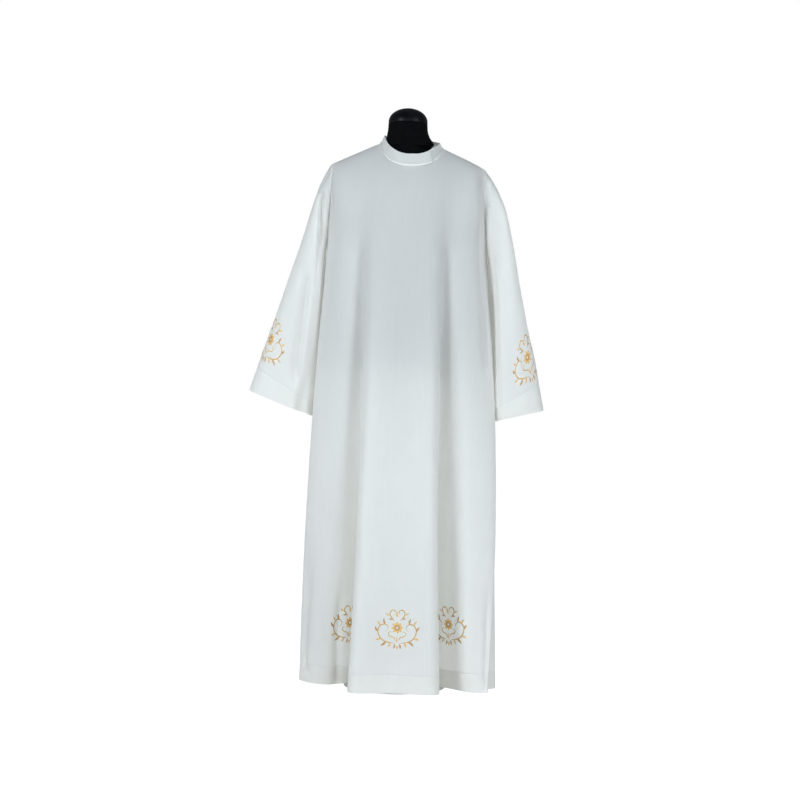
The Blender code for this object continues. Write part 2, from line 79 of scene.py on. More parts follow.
# Upright lines round the robe: strips is how many strips its solid has up to the next line, armpit, hip
# and hem are the line's (x, y) there, and yoke is where it ends at the top, where -2 and 2 are the outer
# ends of the right and left shoulder seams, -1 and 1 are their inner ends, and 0 is the neckline's middle.
Line = namedtuple("Line", "strips armpit hip hem yoke")
FRONT_LINES = (
    # the right seam, edge, panel, lip, valley, fold and brow, then the middle and the same at the left,
    # with a tuck and a wing between edge and seam
    Line(2, (-0.216, 0.000), (-0.227, 0.004), (-0.250, -0.020), -2.00),
    Line(3, (-0.211, -0.045), (-0.240, -0.053), (-0.259, -0.065), -1.94),
    Line(3, (-0.178, -0.084), (-0.192, -0.095), (-0.206, -0.124), -1.86),
    Line(3, (-0.141, -0.093), (-0.147, -0.110), (-0.163, -0.124), -1.74),
    Line(4, (-0.118, -0.092), (-0.105, -0.097), (-0.104, -0.078), -1.60),
    Line(3, (-0.104, -0.112), (-0.103, -0.150), (-0.1225, -0.232), -1.42),
    Line(7, (-0.080, -0.124), (-0.088, -0.170), (-0.106, -0.251), -1.00),
    Line(7, (0.001, -0.130), (-0.002, -0.166), (-0.003, -0.238), 0.00),
    Line(3, (0.074, -0.123), (0.084, -0.168), (0.098, -0.251), 1.00),
    Line(4, (0.098, -0.111), (0.099, -0.150), (0.118, -0.232), 1.42),
    Line(3, (0.112, -0.087), (0.103, -0.089), (0.100, -0.088), 1.60),
    Line(3, (0.136, -0.088), (0.134, -0.104), (0.138, -0.133), 1.74),
    Line(3, (0.178, -0.077), (0.192, -0.105), (0.200, -0.192), 1.86),
    Line(2, (0.216, -0.040), (0.254, -0.070), (0.246, -0.197), 1.94),
    Line(2, (0.220, -0.022), (0.254, -0.048), (0.240, -0.150), 1.96),
    Line(2, (0.226, -0.012), (0.250, -0.030), (0.270, -0.120), 1.98),
    Line(0, (0.226, 0.000), (0.240, 0.002), (0.262, -0.022), 2.00),
)
BACK_LINES = (
    # the left seam, flank, ridge and valley, the middle ridge, and the same at the right
    Line(3, (0.226, 0.000), (0.240, 0.002), (0.262, -0.022), 2.00),
    Line(4, (0.199, 0.050), (0.214, 0.060), (0.243, 0.062), 1.80),
    Line(4, (0.140, 0.090), (0.152, 0.128), (0.170, 0.188), 1.45),
    Line(4, (0.088, 0.096), (0.084, 0.112), (0.092, 0.126), 1.15),
    Line(4, (-0.006, 0.104), (-0.016, 0.148), (-0.022, 0.208), 0.00),
    Line(4, (-0.092, 0.095), (-0.092, 0.108), (-0.104, 0.118), -1.18),
    Line(4, (-0.142, 0.090), (-0.156, 0.124), (-0.178, 0.182), -1.45),
    Line(3, (-0.195, 0.050), (-0.212, 0.060), (-0.240, 0.060), -1.80),
    Line(0, (-0.216, 0.000), (-0.227, 0.004), (-0.250, -0.020), -2.00),
)
# how the lines leave and reach their ends: inward, forward and up
EDGE_LOW_HANDLE = np.array((0.006, 0.052, 0.075))
EDGE_HIGH_HANDLE = np.array((0.010, 0.055, -0.014))
CHEST_HANDLE = np.array((0.000, 0.002, 0.140))
SHOULDER_HANDLE = np.array((0.000, 0.060, -0.003))
NECK_HANDLE = np.array((0.000, 0.030, -0.045))
BACK_NECK_HANDLE = np.array((0.000, 0.045, -0.020))
EDGE_BLEND = 0.45  # how far from the armhole, on the yoke scale, its handles fade out

# share of the way from the armhole to the cuff, x and z of the upper edge, x and z of the under edge, half
# depth, and how far the front and the back bend towards the body
SLEEVE_RIGHT_ROWS = (
    (0.06, -0.2270, 1.404, -0.2212, 1.168, 0.052, 0.000, 0.006),
    (0.14, -0.2420, 1.368, -0.2240, 1.120, 0.058, 0.002, 0.012),
    (0.25, -0.2560, 1.322, -0.2272, 1.060, 0.063, 0.005, 0.018),
    (0.40, -0.2850, 1.218, -0.2313, 0.985, 0.066, 0.006, 0.022),
    (0.55, -0.3180, 1.117, -0.2342, 0.915, 0.066, 0.004, 0.022),
    (0.70, -0.3560, 0.997, -0.2365, 0.852, 0.065, 0.002, 0.020),
    (0.85, -0.3880, 0.902, -0.2380, 0.795, 0.063, -0.002, 0.016),
    (1.00, -0.4190, 0.805, -0.2395, 0.738, 0.062, -0.004, 0.012),
)
SLEEVE_LEFT_ROWS = (
    (0.06, 0.2330, 1.406, 0.2295, 1.168, 0.052, 0.000, 0.006),
    (0.14, 0.2500, 1.378, 0.2362, 1.125, 0.060, 0.002, 0.014),
    (0.25, 0.2740, 1.322, 0.2470, 1.065, 0.068, 0.000, 0.026),
    (0.40, 0.2980, 1.218, 0.2525, 0.985, 0.074, 0.001, 0.034),
    (0.55, 0.3180, 1.109, 0.2550, 0.915, 0.078, 0.003, 0.036),
    (0.70, 0.3430, 0.992, 0.2570, 0.852, 0.080, 0.007, 0.034),
    (0.85, 0.3680, 0.892, 0.2590, 0.793, 0.080, 0.009, 0.030),
    (1.00, 0.3925, 0.768, 0.2605, 0.736, 0.080, 0.008, 0.026),
)
SLEEVE_SQUARENESS = {-1: 0.74, 1: 0.55}  # 1 is round
SLEEVE_OPENED = 0.30  # share of the sleeve over which the armhole's form fades out
# a fold is its angle and width in degrees round the sleeve, from its upper edge over the front, its
# depth, negative for a trough, and the share of the sleeve from which it grows towards the cuff
SLEEVE_RIGHT_FOLDS = (
    (128, 17, -0.012, 0.20),
    (104, 16, 0.006, 0.20),
    (238, 22, -0.012, 0.25),
    (300, 24, -0.009, 0.35),
)
SLEEVE_LEFT_FOLDS = (
    (60, 24, -0.006, 0.35),
    (164, 15, 0.005, 0.10),
    (194, 15, -0.007, 0.10),
    (236, 22, -0.013, 0.20),
    (296, 26, -0.010, 0.30),
)

COLLAR_HEIGHTS = (
    # degrees from the front towards the wearer's left, how high the band stands there
    (-180, 0.024),
    (-90, 0.022),
    (-45, 0.031),
    (0, 0.034),
    (55, 0.031),
    (90, 0.015),
    (130, 0.018),
    (180, 0.024),
)
COLLAR_LEAN = 0.42  # how far it leans in for each metre up
COLLAR_START = 43.0  # degrees from the front to its outer end
COLLAR_LAP = 24.0  # degrees by which its ends overlap
COLLAR_LAP_GAP = 0.0026  # between the middles of its two layers there
COLLAR_THICK = 0.0018
COLLAR_FOOT = -0.0010  # how far above the neckline the band starts
COLLAR_PIPING = 0.0011  # how far its sewn foot stands out
COLLAR_PIPING_WIDTH = 0.0022

# Dress form: level, half width, half depth to the front, half depth to the back
TORSO_SECTIONS = (
    (0.846, 0.1400, 0.097, 0.090),
    (0.850, 0.1430, 0.100, 0.093),
    (0.920, 0.1430, 0.100, 0.094),
    (1.020, 0.1380, 0.098, 0.084),
    (1.110, 0.1350, 0.098, 0.076),
    (1.200, 0.1350, 0.102, 0.078),
    (1.270, 0.1430, 0.107, 0.082),
    (1.330, 0.1650, 0.104, 0.084),
    (1.380, 0.1980, 0.086, 0.074),
    (1.410, 0.2030, 0.066, 0.060),
    (1.430, 0.1970, 0.044, 0.044),
)
NECK_SECTIONS = (
    # z      width   front   back   how far its middle lies towards the wearer's left
    (1.4860, 0.0635, 0.051, 0.046, 0.0020),
    (1.4910, 0.0665, 0.051, 0.046, 0.0040),
    (1.4970, 0.0680, 0.052, 0.046, 0.0055),
    (1.5050, 0.0635, 0.052, 0.046, 0.0035),
    (1.5150, 0.0595, 0.052, 0.047, 0.0012),
    (1.5300, 0.0555, 0.052, 0.048, 0.0),
    (1.5500, 0.0540, 0.052, 0.049, 0.0),
)
RIDGE_SECTIONS = (
    # z      half depth, how far the ridge lies under the line of the shoulder seam
    (1.4520, 0.030, 0.0016),
    (1.4650, 0.024, 0.0016),
    (1.4760, 0.019, 0.0018),
    (1.4810, 0.016, 0.0080),
)
NECK_ROOT = (0.0580, 0.050)  # half its width and depth
TORSO_SQUARENESS = 0.60  # 1 is a plain oval, and less is flatter with tighter corners
TORSO_SQUARE_TO = 1.20
TORSO_SQUARE_FADE = 0.12
FORM_SIDES = 128
FORM_STEPS = 6  # rings for each section
FORM_INSET = 0.0010  # how far its surface stays inside its solid, below the neck
CAP_RADIUS = 0.0540
CAP_RIM_Z = (1.5503, 1.5560)  # the rim's foot and top
CAP_TOP_Z = 1.5935
CAP_ROUND = 0.0012
CAP_RINGS = 22
CAP_ROUND_STEPS = 5
FORM_LOWERED_FROM = 1.35  # from this height up, over this much, the inset is downwards too
FORM_LOWERED_FADE = 0.05

# -------- how finely the shells are made
FRONT_FINER = 4  # strips of the front shell for each strip of its solid
BACK_FINER = 5
TINY = 1e-12  # keeps a division by a length defined
SKIRT_STEPS = 190
YOKE_STEPS = 54
SLEEVE_SIDES = 184
SLEEVE_STEPS = 140
SLEEVE_PASSES = 24  # smoothing passes along a sleeve
COLLAR_STEPS = 300
COLLAR_TALL_STEPS = 16
COLLAR_TOP_STEPS = 6
BLEND_PASSES = 70  # smoothing passes where the skirt meets the yoke
BLEND_REACH = 0.10  # metres over which they fade out
CHEST_EDGE_COLUMNS = 16
CHEST_TOP_ROWS = 26  # rows under the neckline over which the smoothing of the chest fades out
CHEST_EASING = (
    # smoothing passes across the folds, the height they start at, and where they work in full
    (60, 0.90, 1.30),
    (500, 1.16, 1.29),
)

# -------- hems and seams
HEM_WIDTH = 0.047
CUFF_WIDTH = 0.050
HEM_GAP = 0.0016  # between the outer and the turned-up layer
HEM_STEPS = 14
SEAM_ALLOWANCE = 0.008
SEAM_GAP = 0.0008
SEAM_STEPS = 4
FOLD_STEPS = 5
GROOVE_ROWS = (-0.0030, -0.0016, -0.0007, 0.0, 0.0007, 0.0016, 0.0030)
GROOVE_DEPTH = 0.0007
GROOVE_WIDTH = 0.0011
MOST_CROWDED = 0.05  # rows nearer than this share of the usual distance are one row
CLOTH_MAP = "cloth_metres"

SEAM_VALLEYS = {
    # how far the cloth is drawn in along the armhole seam, and over what width: wearer's right, left
    -1: (0.0060, 0.0070),
    1: (0.0180, 0.0185),
}
SEAM_VALLEY_FADE = 0.09  # metres above the armpit over which it grows
SEAM_VALLEY_TOP = 0.07  # metres under the shoulder over which it fades out
SEAM_VALLEY_LEFT = 0.12  # what is left of it at the shoulder
ARMHOLE_LOWERED = 0.03  # how far the middle of the drawing-in lies under that of the armhole
PUCKER_DEPTH = 0.0007
PUCKER_PITCH = 0.0085
PUCKER_RADIUS = 0.1  # of the armhole, about
PUCKER_FROM = 1.25
PUCKER_FADE = 0.12
PUCKER_REACH = 3  # times as wide as the valley
STITCH_LENGTH = 0.0024
STITCH_PITCH = 0.0033
STITCH_WIDTH = 0.0007
STITCH_HEIGHT = 0.0005
STITCH_SUNK = 0.0009
STITCH_PLACES = STITCH_LENGTH * np.array((0.0, 0.3, 0.7, 1.0))
STITCH_WIDTHS = STITCH_WIDTH * np.array((0.5, 1.0, 1.0, 0.5))
STITCHED_SHARE = 0.995  # of the hem's length
PIPING_OUT = 0.0018  # half of what the collar's padded seam measures outwards
PIPING_UP = 0.0032  # and upwards
PIPING_RISE = 0.0012
PIPING_SET_OUT = 0.6  # share of PIPING_OUT by which its middle stands off the collar
PIPING_SIDES = 12
PIPING_END = 60.0  # it narrows over one part in this many at each end

CREASE_SEAM_FADE = 0.010  # creases run out over this distance from a seam
CREASE_TURNED = 3  # how sharply they run out where the cloth turns sideways
# a crease is its path of (x, z) places, its width, its depth, negative for a trough, and the shares of
# its length over which it fades in and out
FRONT_CREASES = (
    (((0.2080, 1.417), (0.2052, 1.367), (0.2055, 1.299), (0.2061, 1.217)), 0.0040, -0.0022, 0.2, 0.6),
    (((-0.2111, 1.358), (-0.2036, 1.334), (-0.2045, 1.301), (-0.2101, 1.239)), 0.005, -0.005, 0.2, 0.5),
    (((-0.2615, 0.095), (-0.2471, 0.065), (-0.2274, 0.038)), 0.0060, -0.0040, 0.3, 0.3),
    (((-0.2380, 0.420), (-0.2500, 0.240), (-0.2620, 0.030)), 0.0160, -0.0140, 0.4, 0.1),
    (((0.2440, 0.320), (0.2420, 0.150), (0.2390, 0.010)), 0.0070, -0.0070, 0.4, 0.1),
    (((0.2065, 1.310), (0.2113, 1.176), (0.2242, 0.985), (0.2358, 0.848)), 0.0090, -0.0110, 0.2, 0.1),
    (((-0.1456, 0.312), (-0.1548, 0.136), (-0.1514, 0.003)), 0.0120, -0.0110, 0.4, 0.1),
)
BACK_CREASES = (
    (((-0.1960, 1.395), (-0.1930, 1.330), (-0.1950, 1.240)), 0.0060, -0.0020, 0.2, 0.6),
    (((0.2020, 1.400), (0.1990, 1.330), (0.2010, 1.230)), 0.0060, -0.0020, 0.2, 0.6),
)
SLEEVE_RIGHT_CREASES = (
    (
        ((-0.2426, 1.359), (-0.2334, 1.343), (-0.2299, 1.310), (-0.2278, 1.258), (-0.2332, 1.192),
         (-0.2362, 1.124), (-0.2372, 1.055)), 0.0065, -0.0120, 0.08, 0.6,
    ),
    (((-0.2206, 1.321), (-0.2165, 1.269), (-0.2220, 1.192), (-0.2266, 1.124)), 0.005, 0.0016, 0.3, 0.5),
    (((-0.2114, 1.415), (-0.2272, 1.384), (-0.2403, 1.362)), 0.0034, -0.0022, 0.2, 0.3),
    (((-0.2283, 1.357), (-0.2099, 1.331)), 0.0028, 0.0024, 0.3, 0.4),
    (
        ((-0.2660, 1.157), (-0.2716, 1.053), (-0.2791, 0.971), (-0.2865, 0.884), (-0.2899, 0.802)),
        0.0120, -0.0150, 0.2, 0.2,
    ),
    (
        ((-0.2496, 1.157), (-0.2552, 1.054), (-0.2641, 0.972), (-0.2689, 0.890), (-0.2693, 0.794)),
        0.0080, 0.0050, 0.3, 0.2,
    ),
)
SLEEVE_LEFT_CREASES = (
    (((0.2214, 1.406), (0.2250, 1.340), (0.2258, 1.253)), 0.0060, -0.0060, 0.15, 0.6),
    (((0.2320, 1.230), (0.2420, 1.070), (0.2500, 0.900), (0.2530, 0.840)), 0.0100, -0.0110, 0.3, 0.1),
    (((0.2285, 1.365), (0.2496, 1.341)), 0.0030, 0.0018, 0.3, 0.5),
    (((0.2317, 1.343), (0.2460, 1.322)), 0.0030, -0.0016, 0.3, 0.5),
)

# -------- the gold motif, in millimetres
# what lies right of its middle; each of these is sewn again, mirrored, at the left
MOTIF_WIDTH = 118
MOTIF_SCROLLS = (
    # points of a smooth path, full width
    (
        ((1, -45), (12, -39), (30, -35), (45, -24), (51, -6), (44, 8), (31, 10), (24, 1), (29, -8), (37, -5)),
        3.1,
    ),
    (((5, 16), (14, 26), (20, 37), (14, 47), (5, 44), (5, 36), (11, 35)), 2.7),
    (((3, -36), (8, -25), (19, -21), (23, -14), (18, -9), (13, -13)), 2.1),
)
MOTIF_LEAVES = (
    # base, tip, full width
    ((30, -35), (44, -46), 6.2),
    ((44, -25), (58, -30), 5.6),
    ((51, -8), (59, 5), 5.6),
    ((44, 8), (53, 20), 5.2),
    ((32, 10), (36, 26), 5.4),
    ((18, -37), (24, -50), 6.0),
    ((6, -42), (9, -54), 5.2),
    ((21, 34), (31, 39), 4.4),
    ((12, 24), (23, 24), 4.2),
)
MOTIF_MIDDLE_LEAVES = (
    ((0, 28), (0, 44), 5.6),
    ((0, -38), (0, -21), 4.6),
    ((0, -45), (0, -56), 5.0),
)
PETALS = 8
PETAL_RINGS = (
    # where the petals start and end, full width, turn in degrees, thread
    (6.0, 15.5, 8.2, 0.0, "bright"),
    (2.6, 9.5, 5.0, 22.5, "deep"),
)
ROSETTE_PLACE = (0, 1)
MOTIF_EDGE = 2.2  # how much wider the pale edging under a scroll is
MOTIF_STEP = 1.2
THREAD_HEIGHT = 0.75
EDGE_HEIGHT = 0.30
THREAD_SUNK = 0.10
THREAD_SECTION = ((-1.0, 0.0), (-0.72, 0.62), (0.0, 1.0), (0.72, 0.62), (1.0, 0.0))
SCROLL_TAPERS = (0.25, 0.35)
SCROLL_END = 0.12  # what is left of the width at the ends
LEAF_END = 0.06
LEAF_FULLNESS = 0.8
LEAF_BEND = 0.08
PATH_FINENESS = 40
FEWEST_STEPS = 4
FACING_FRONT = -0.05  # where the normal's y is under this, cloth faces the front
THREADS = ("deep", "bright", "pale")
THREAD_MAP = "thread_metres"
Motif = namedtuple("Motif", "name node place edge")
MOTIFS = (
    # place is (x, z), and edge is the side of the motif that lies there: -1 left, 0 middle, 1 right
    Motif("motif_middle", "front_panel", (0.0035, 0.1885), 0),
    Motif("motif_right_panel", "front_panel", (-0.1737, 0.1800), -1),
    Motif("motif_left_panel", "front_panel", (0.1868, 0.1860), 1),
    Motif("motif_right_sleeve", "sleeve_right", (-0.3225, 0.9076), 1),
    Motif("motif_left_sleeve", "sleeve_left", (0.2995, 0.8713), -1),
)

# -------- colours and light
# the first colour of a pair is where the material's noise or pattern is low
CLOTH_COLOURS = ((0.875, 0.869, 0.832), (0.90, 0.894, 0.857))
CLOTH_THROUGH = 0.44
COLLAR_THROUGH = 0.47
PIPING_THROUGH = 0.20
# gold threads: in each pair the first is the thread's colour in painted shade, between its stitches and in
# unevenly lit places, and the second is it lit
DEEP_GOLD_LIT_AND_SHADED = ((0.36, 0.19, 0.055), (0.50, 0.29, 0.10))
BRIGHT_GOLD_LIT_AND_SHADED = ((0.62, 0.34, 0.08), (0.80, 0.52, 0.18))
PALE_GOLD_LIT_AND_SHADED = ((0.78, 0.66, 0.40), (0.90, 0.82, 0.60))
# white sewing thread: the first colour is painted shade in the grooves of its twist, the second the thread
# lit
SEWING_WHITE_AND_SHADE = ((0.80, 0.80, 0.78), (0.90, 0.90, 0.88))
WHITE = (1.0, 1.0, 1.0, 1.0)
YARN_PITCH = 0.0006
SLUB_SIZES = ((0.0011, 0.035), (0.030, 0.0011))  # upright and level thick places in the yarns
STREAK_SIZE = (0.006, 0.16)
STREAK_SHARE = 0.6  # and the rest of the cloth's shade comes from patches
PATCH_SIZE = (0.05, 0.09)
STITCH_SIZE = (0.0025, 0.004)  # of unevenly lit places in satin stitches
# satin stitches: how far apart they lie, and the share of the thread's painted shade and bumps that follows
# them
SATIN_PITCH = 0.0005
SATIN_SHARE = 0.35
TWIST_PITCH = 0.0004
RIB_PITCH = 0.0012
LOOP_PITCH = 0.0009
WAVE_TURNS = 20 / math.tau  # bands in a metre of Blender's wave texture at scale 1
FORM_COLOURS = ((0.0015, 0.0015, 0.002), (0.003, 0.003, 0.0035))
CAP_COLOURS = ((0.0015, 0.0015, 0.002), (0.005, 0.005, 0.006))
CAP_ROUGHNESS = ((0.34, 0.34, 0.34), (0.48, 0.48, 0.48))
STAND_COLOURS = ((0.54, 0.56, 0.57), (0.62, 0.64, 0.65))
LIGHT_COLOUR = (0.845, 0.918, 1.0)
WORLD_STRENGTH = 0.26
FLOOR_COLOUR = (0.5, 0.5, 0.5, 1.0)
FLOOR_GLOW = 0.9
FLOOR_SIZE = 60.0
FLOOR_DROP = 0.0003
LIGHT_TARGET = (0.0, 0.0, 1.05)
LIGHTS = (
    # name, place, size, power, width of the beam in degrees
    ("left_light", (-2.8, -3.0, 1.9), (1.3, 1.8), 86, 150),
    ("right_light", (2.85, -2.8, 1.9), (1.3, 1.8), 64, 150),
    ("front_light", (0.0, -5.2, 1.7), (2.0, 1.4), 29, 150),
    ("back_light", (0.2, 4.4, 2.0), (3.0, 1.8), 11, 90),
)


def smooth(value):
    value = np.clip(value, 0.0, 1.0)
    return value * value * (3 - 2 * value)


def bell(value):
    return np.exp(-(value**2))


def squared(values, power):
    """Turns sines and cosines of a round ring into those of a flatter one with tighter corners."""
    return np.sign(values) * np.abs(values) ** power


def unit(vectors):
    return vectors / np.maximum(np.linalg.norm(vectors, axis=-1, keepdims=True), TINY)


# -------- the form of the body
def quadratic(level, armpit, hip, hem):
    """The value at this level of the parabola through the three named levels."""
    at_armpit = (level - HIP_Z) * (level - HEM_Z) / ((ARMPIT_Z - HIP_Z) * (ARMPIT_Z - HEM_Z))
    at_hip = (level - ARMPIT_Z) * (level - HEM_Z) / ((HIP_Z - ARMPIT_Z) * (HIP_Z - HEM_Z))
    at_hem = (level - ARMPIT_Z) * (level - HIP_Z) / ((HEM_Z - ARMPIT_Z) * (HEM_Z - HIP_Z))
    return at_armpit * armpit + at_hip * hip + at_hem * hem


def through(before, start, end, after, part):
    """The point at this share of the way from start to end on the smooth curve through all four."""
    knots = [0.0]
    for here, there in ((before, start), (start, end), (end, after)):
        knots.append(knots[-1] + math.sqrt(np.linalg.norm(there - here)))
    at = knots[1] + part * (knots[2] - knots[1])

    def between(one, two, low, high):
        return ((knots[high] - at) * one + (at - knots[low]) * two) / (knots[high] - knots[low])

    first = between(before, start, 0, 1)
    second = between(start, end, 1, 2)
    third = between(end, after, 2, 3)
    return between(between(first, second, 0, 2), between(second, third, 1, 3), 1, 2)


def columns_between(lines, finer):
    """For each column of a shell, how many lines precede it, and its share of the way to the next line."""
    for step, line in enumerate(lines[:-1]):
        strips = line.strips * finer
        yield from ((step, strip / strips) for strip in range(strips))


def body_row(level, lines, finer):
    """The points of one level, from the first to the last of these lines, at this height."""
    points = []
    for line in FRONT_LINES[:-1] + BACK_LINES[:-1]:
        x, y = (quadratic(level, *values) for values in zip(line.armpit, line.hip, line.hem))
        points.append(np.array((x, y, level)))
    start = 0 if lines is FRONT_LINES else len(FRONT_LINES) - 1
    row = []
    for step, share in columns_between(lines, finer):
        near = [points[(start + step + shift) % len(points)] for shift in (-1, 0, 1, 2)]
        row.append(through(*near, share))
    return row + [points[(start + len(lines) - 1) % len(points)]]


def seam_height(x):
    return SHOULDER_Z + (SHOULDER_X - abs(x)) * SHOULDER_SLOPE


def neck_point(angle, grow=0.0):
    """A point of the neckline: angle 0 at the front, 90 at the wearer's left, 180 at the back."""
    turn = math.radians(angle)
    forward = math.cos(turn)
    x = NECK_X + (NECK_HALF_WIDTH + grow) * math.sin(turn)
    side = seam_height(NECK_X + math.copysign(NECK_HALF_WIDTH, math.sin(turn)))
    mean = (seam_height(NECK_X + NECK_HALF_WIDTH) + seam_height(NECK_X - NECK_HALF_WIDTH)) / 2
    side = mean + (side - mean) * abs(math.sin(turn))
    if forward > 0:
        y = SEAM_Y - (NECK_FRONT_DEPTH + grow) * forward
        z = NECK_FRONT_Z + (side - NECK_FRONT_Z) * (1 - forward) ** NECK_FRONT_RISE
    else:
        y = SEAM_Y - (NECK_BACK_DEPTH + grow) * forward
        z = side + (NECK_BACK_Z - side) * smooth(-forward)
    return np.array((x, y, z))


def top_point(yoke, facing):
    """Where a line ends: on a shoulder seam, or on the front or back neckline."""
    if abs(yoke) <= 1:
        angle = 90 * yoke if facing < 0 else 180 - 90 * yoke
        return neck_point(angle)
    neck_x = NECK_X + math.copysign(NECK_HALF_WIDTH, yoke)
    shoulder_x = SHOULDER_X if yoke > 0 else SHOULDER_RIGHT_END
    x = neck_x + (shoulder_x - neck_x) * (abs(yoke) - 1)
    return np.array((x, SEAM_Y, seam_height(x)))


def yoke_line(low, yoke, facing, share):
    """A point on the upright line from the armpit level to the shoulder or neck."""
    top = top_point(yoke, facing)
    inner = smooth((2 - abs(yoke)) / EDGE_BLEND)
    neck = math.cos(math.radians(90 * min(abs(yoke), 1)))
    neck_handle = NECK_HANDLE if facing < 0 else BACK_NECK_HANDLE
    turned = (-math.copysign(1, yoke), facing, 1)
    above = (CHEST_HANDLE * inner + EDGE_LOW_HANDLE * (1 - inner)) * turned
    below = SHOULDER_HANDLE * (1 - neck) + neck_handle * neck
    below = (below * inner + EDGE_HIGH_HANDLE * (1 - inner)) * turned
    rest = 1 - share
    return (
        rest**3 * low
        + 3 * rest**2 * share * (low + above)
        + 3 * rest * share**2 * (top + below)
        + share**3 * top
    )


def ease(grid, passes, share=1.0):
    """Smooths the inner rows of a grid in place, each by this share in a pass."""
    for _ in range(passes):
        eased = (grid[:-2] + 2 * grid[1:-1] + grid[2:]) / 4
        grid[1:-1] += (eased - grid[1:-1]) * share


def smooth_chest(grid):
    """Lets the folds fade out upwards, where the cloth lies on the chest and shoulders."""
    level = grid[:, :, 2].mean(axis=1)[:, None]
    columns = np.arange(grid.shape[1])
    from_edge = np.minimum(columns, columns[::-1])[None, :]
    from_top = np.arange(len(grid))[::-1, None]
    inner = smooth(from_edge / CHEST_EDGE_COLUMNS) * smooth(from_top / CHEST_TOP_ROWS)
    for passes, start, full in CHEST_EASING:
        share = (inner * smooth((level - start) / (full - start)))[:, 1:-1, None]
        ease(grid.swapaxes(0, 1), passes, share.swapaxes(0, 1))


def shorten(ends, following, distance):
    """These end points, moved this far towards the ones that follow."""
    return ends + unit(following - ends) * distance


def body_grid(lines, facing, finer):
    """The points of a panel, row by row from the hem to the neckline."""
    rows = [body_row(level, lines, finer) for level in np.linspace(HEM_Z, ARMPIT_Z, SKIRT_STEPS)]
    scale = []
    for step, share in columns_between(lines, finer):
        scale.append(lines[step].yoke * (1 - share) + lines[step + 1].yoke * share)
    scale.append(lines[-1].yoke)
    chest = rows[-1]
    for step in range(1, YOKE_STEPS + 1):
        share = step / YOKE_STEPS
        rows.append([yoke_line(low, yoke, facing, share) for low, yoke in zip(chest, scale)])
    grid = np.array(rows)
    from_armpit = np.abs(grid[:, :, 2].mean(axis=1) - ARMPIT_Z)
    ease(grid, BLEND_PASSES, smooth(1 - from_armpit / BLEND_REACH)[1:-1, None, None])
    smooth_chest(grid)
    grid[:, 0] = shorten(grid[:, 0], grid[:, 1], SEAM_TRIM)
    grid[:, -1] = shorten(grid[:, -1], grid[:, -2], SEAM_TRIM)
    grid[-1] = shorten(grid[-1], grid[-2], TOP_TRIM)
    return grid


# -------- the form of the sleeves
def armhole(side):
    """The armhole all round, where the sleeve is sewn to it: shoulder, front, armpit, back."""
    seam = FRONT_LINES[0] if side < 0 else FRONT_LINES[-1]
    low = np.array((*seam.armpit, ARMPIT_Z))
    shares = np.linspace(0, 1, SLEEVE_SIDES // 2 + 1)
    front = [yoke_line(low, 2 * side, -1, share) for share in shares[::-1]]
    back = [yoke_line(low, 2 * side, 1, share) for share in shares]
    hole = np.array(front + back[1:-1])
    high = (1 + np.cos(np.arange(SLEEVE_SIDES) * math.tau / SLEEVE_SIDES)) / 2
    hole[:, 0] += side * (SHOULDER_OFFSET * high + ARMPIT_OFFSET * (1 - high))
    return hole


def fold_depth(angles, along, folds):
    """How far the folds push a ring out at these angles, at this share of the sleeve."""
    depth = np.zeros(len(angles))
    for angle, width, deepest, start in folds:
        away = (angles - angle + 180) % 360 - 180
        depth += deepest * bell(away / width) * smooth((along - start) / (1 - start))
    return depth


def sleeve_start(rows, hole):
    """The sleeve's measures at its armhole, in the order of a row."""
    upper, under = hole[0], hole[len(hole) // 2]
    return upper[0], upper[2], under[0], under[2], *rows[0][5:]


def sleeve_ring(side, along, rows, folds, hole):
    """The points round the sleeve at this share of it, which go over from the armhole's form to their own."""
    places, *columns = np.transpose(rows)
    upper_x, upper_z, under_x, under_z, depth, front, back = (
        np.interp(along, [0.0, *places], [start, *column])
        for start, column in zip(sleeve_start(rows, hole), columns)
    )
    upper, under = np.array((upper_x, 0.0, upper_z)), np.array((under_x, 0.0, under_z))
    half = (upper - under) / 2
    opened = smooth(along / SLEEVE_OPENED)
    turns = np.arange(len(hole)) * math.tau / len(hole)
    swell = fold_depth(np.degrees(turns), along, folds)
    reach = (np.linalg.norm(half) + swell) * squared(np.cos(turns), SLEEVE_SQUARENESS[side])
    across = -(depth + swell) * squared(np.sin(turns), SLEEVE_SQUARENESS[side])
    round_form = (upper + under) / 2 + unit(half) * reach[:, None]
    round_form[:, 0] -= side * np.where(across < 0, front, back) * (across / depth) ** 2
    round_form[:, 1] += across
    share = (1 + np.cos(turns[:, None])) / 2
    upper_move = (upper - hole[0]) * (1, 0, 1)
    under_move = (under - hole[len(hole) // 2]) * (1, 0, 1)
    hole_form = hole + upper_move * share + under_move * (1 - share)
    return hole_form * (1 - opened) + round_form * opened


def sleeve_grid(side, rows, folds):
    """The points of a sleeve, ring by ring from the cuff to the armhole, each from the underarm round."""
    hole = armhole(side)
    rings = [sleeve_ring(side, along, rows, folds, hole) for along in np.linspace(1, 0, SLEEVE_STEPS)]
    grid = np.array(rings)
    ease(grid, SLEEVE_PASSES)
    grid = np.roll(grid, SLEEVE_SIDES // 2, axis=1)
    grid = np.concatenate([grid, grid[:, :1]], axis=1)
    return grid if side < 0 else grid[:, ::-1]


# -------- the form of the collar
def collar_section(height):
    """One round of the band's section as (out, up) pairs: up the outside, over the top and down inside."""
    half = COLLAR_THICK / 2
    section = []
    for rise in np.linspace(COLLAR_FOOT, height - half, COLLAR_TALL_STEPS):
        piping = COLLAR_PIPING * bell((rise - COLLAR_FOOT) / COLLAR_PIPING_WIDTH)
        section.append((half + piping, rise))
    for step in range(1, COLLAR_TOP_STEPS):
        turn = math.pi * step / COLLAR_TOP_STEPS
        section.append((half * math.cos(turn), height - half + half * math.sin(turn)))
    for rise in np.linspace(height - half, COLLAR_FOOT, COLLAR_TALL_STEPS):
        section.append((-half, rise))
    return section


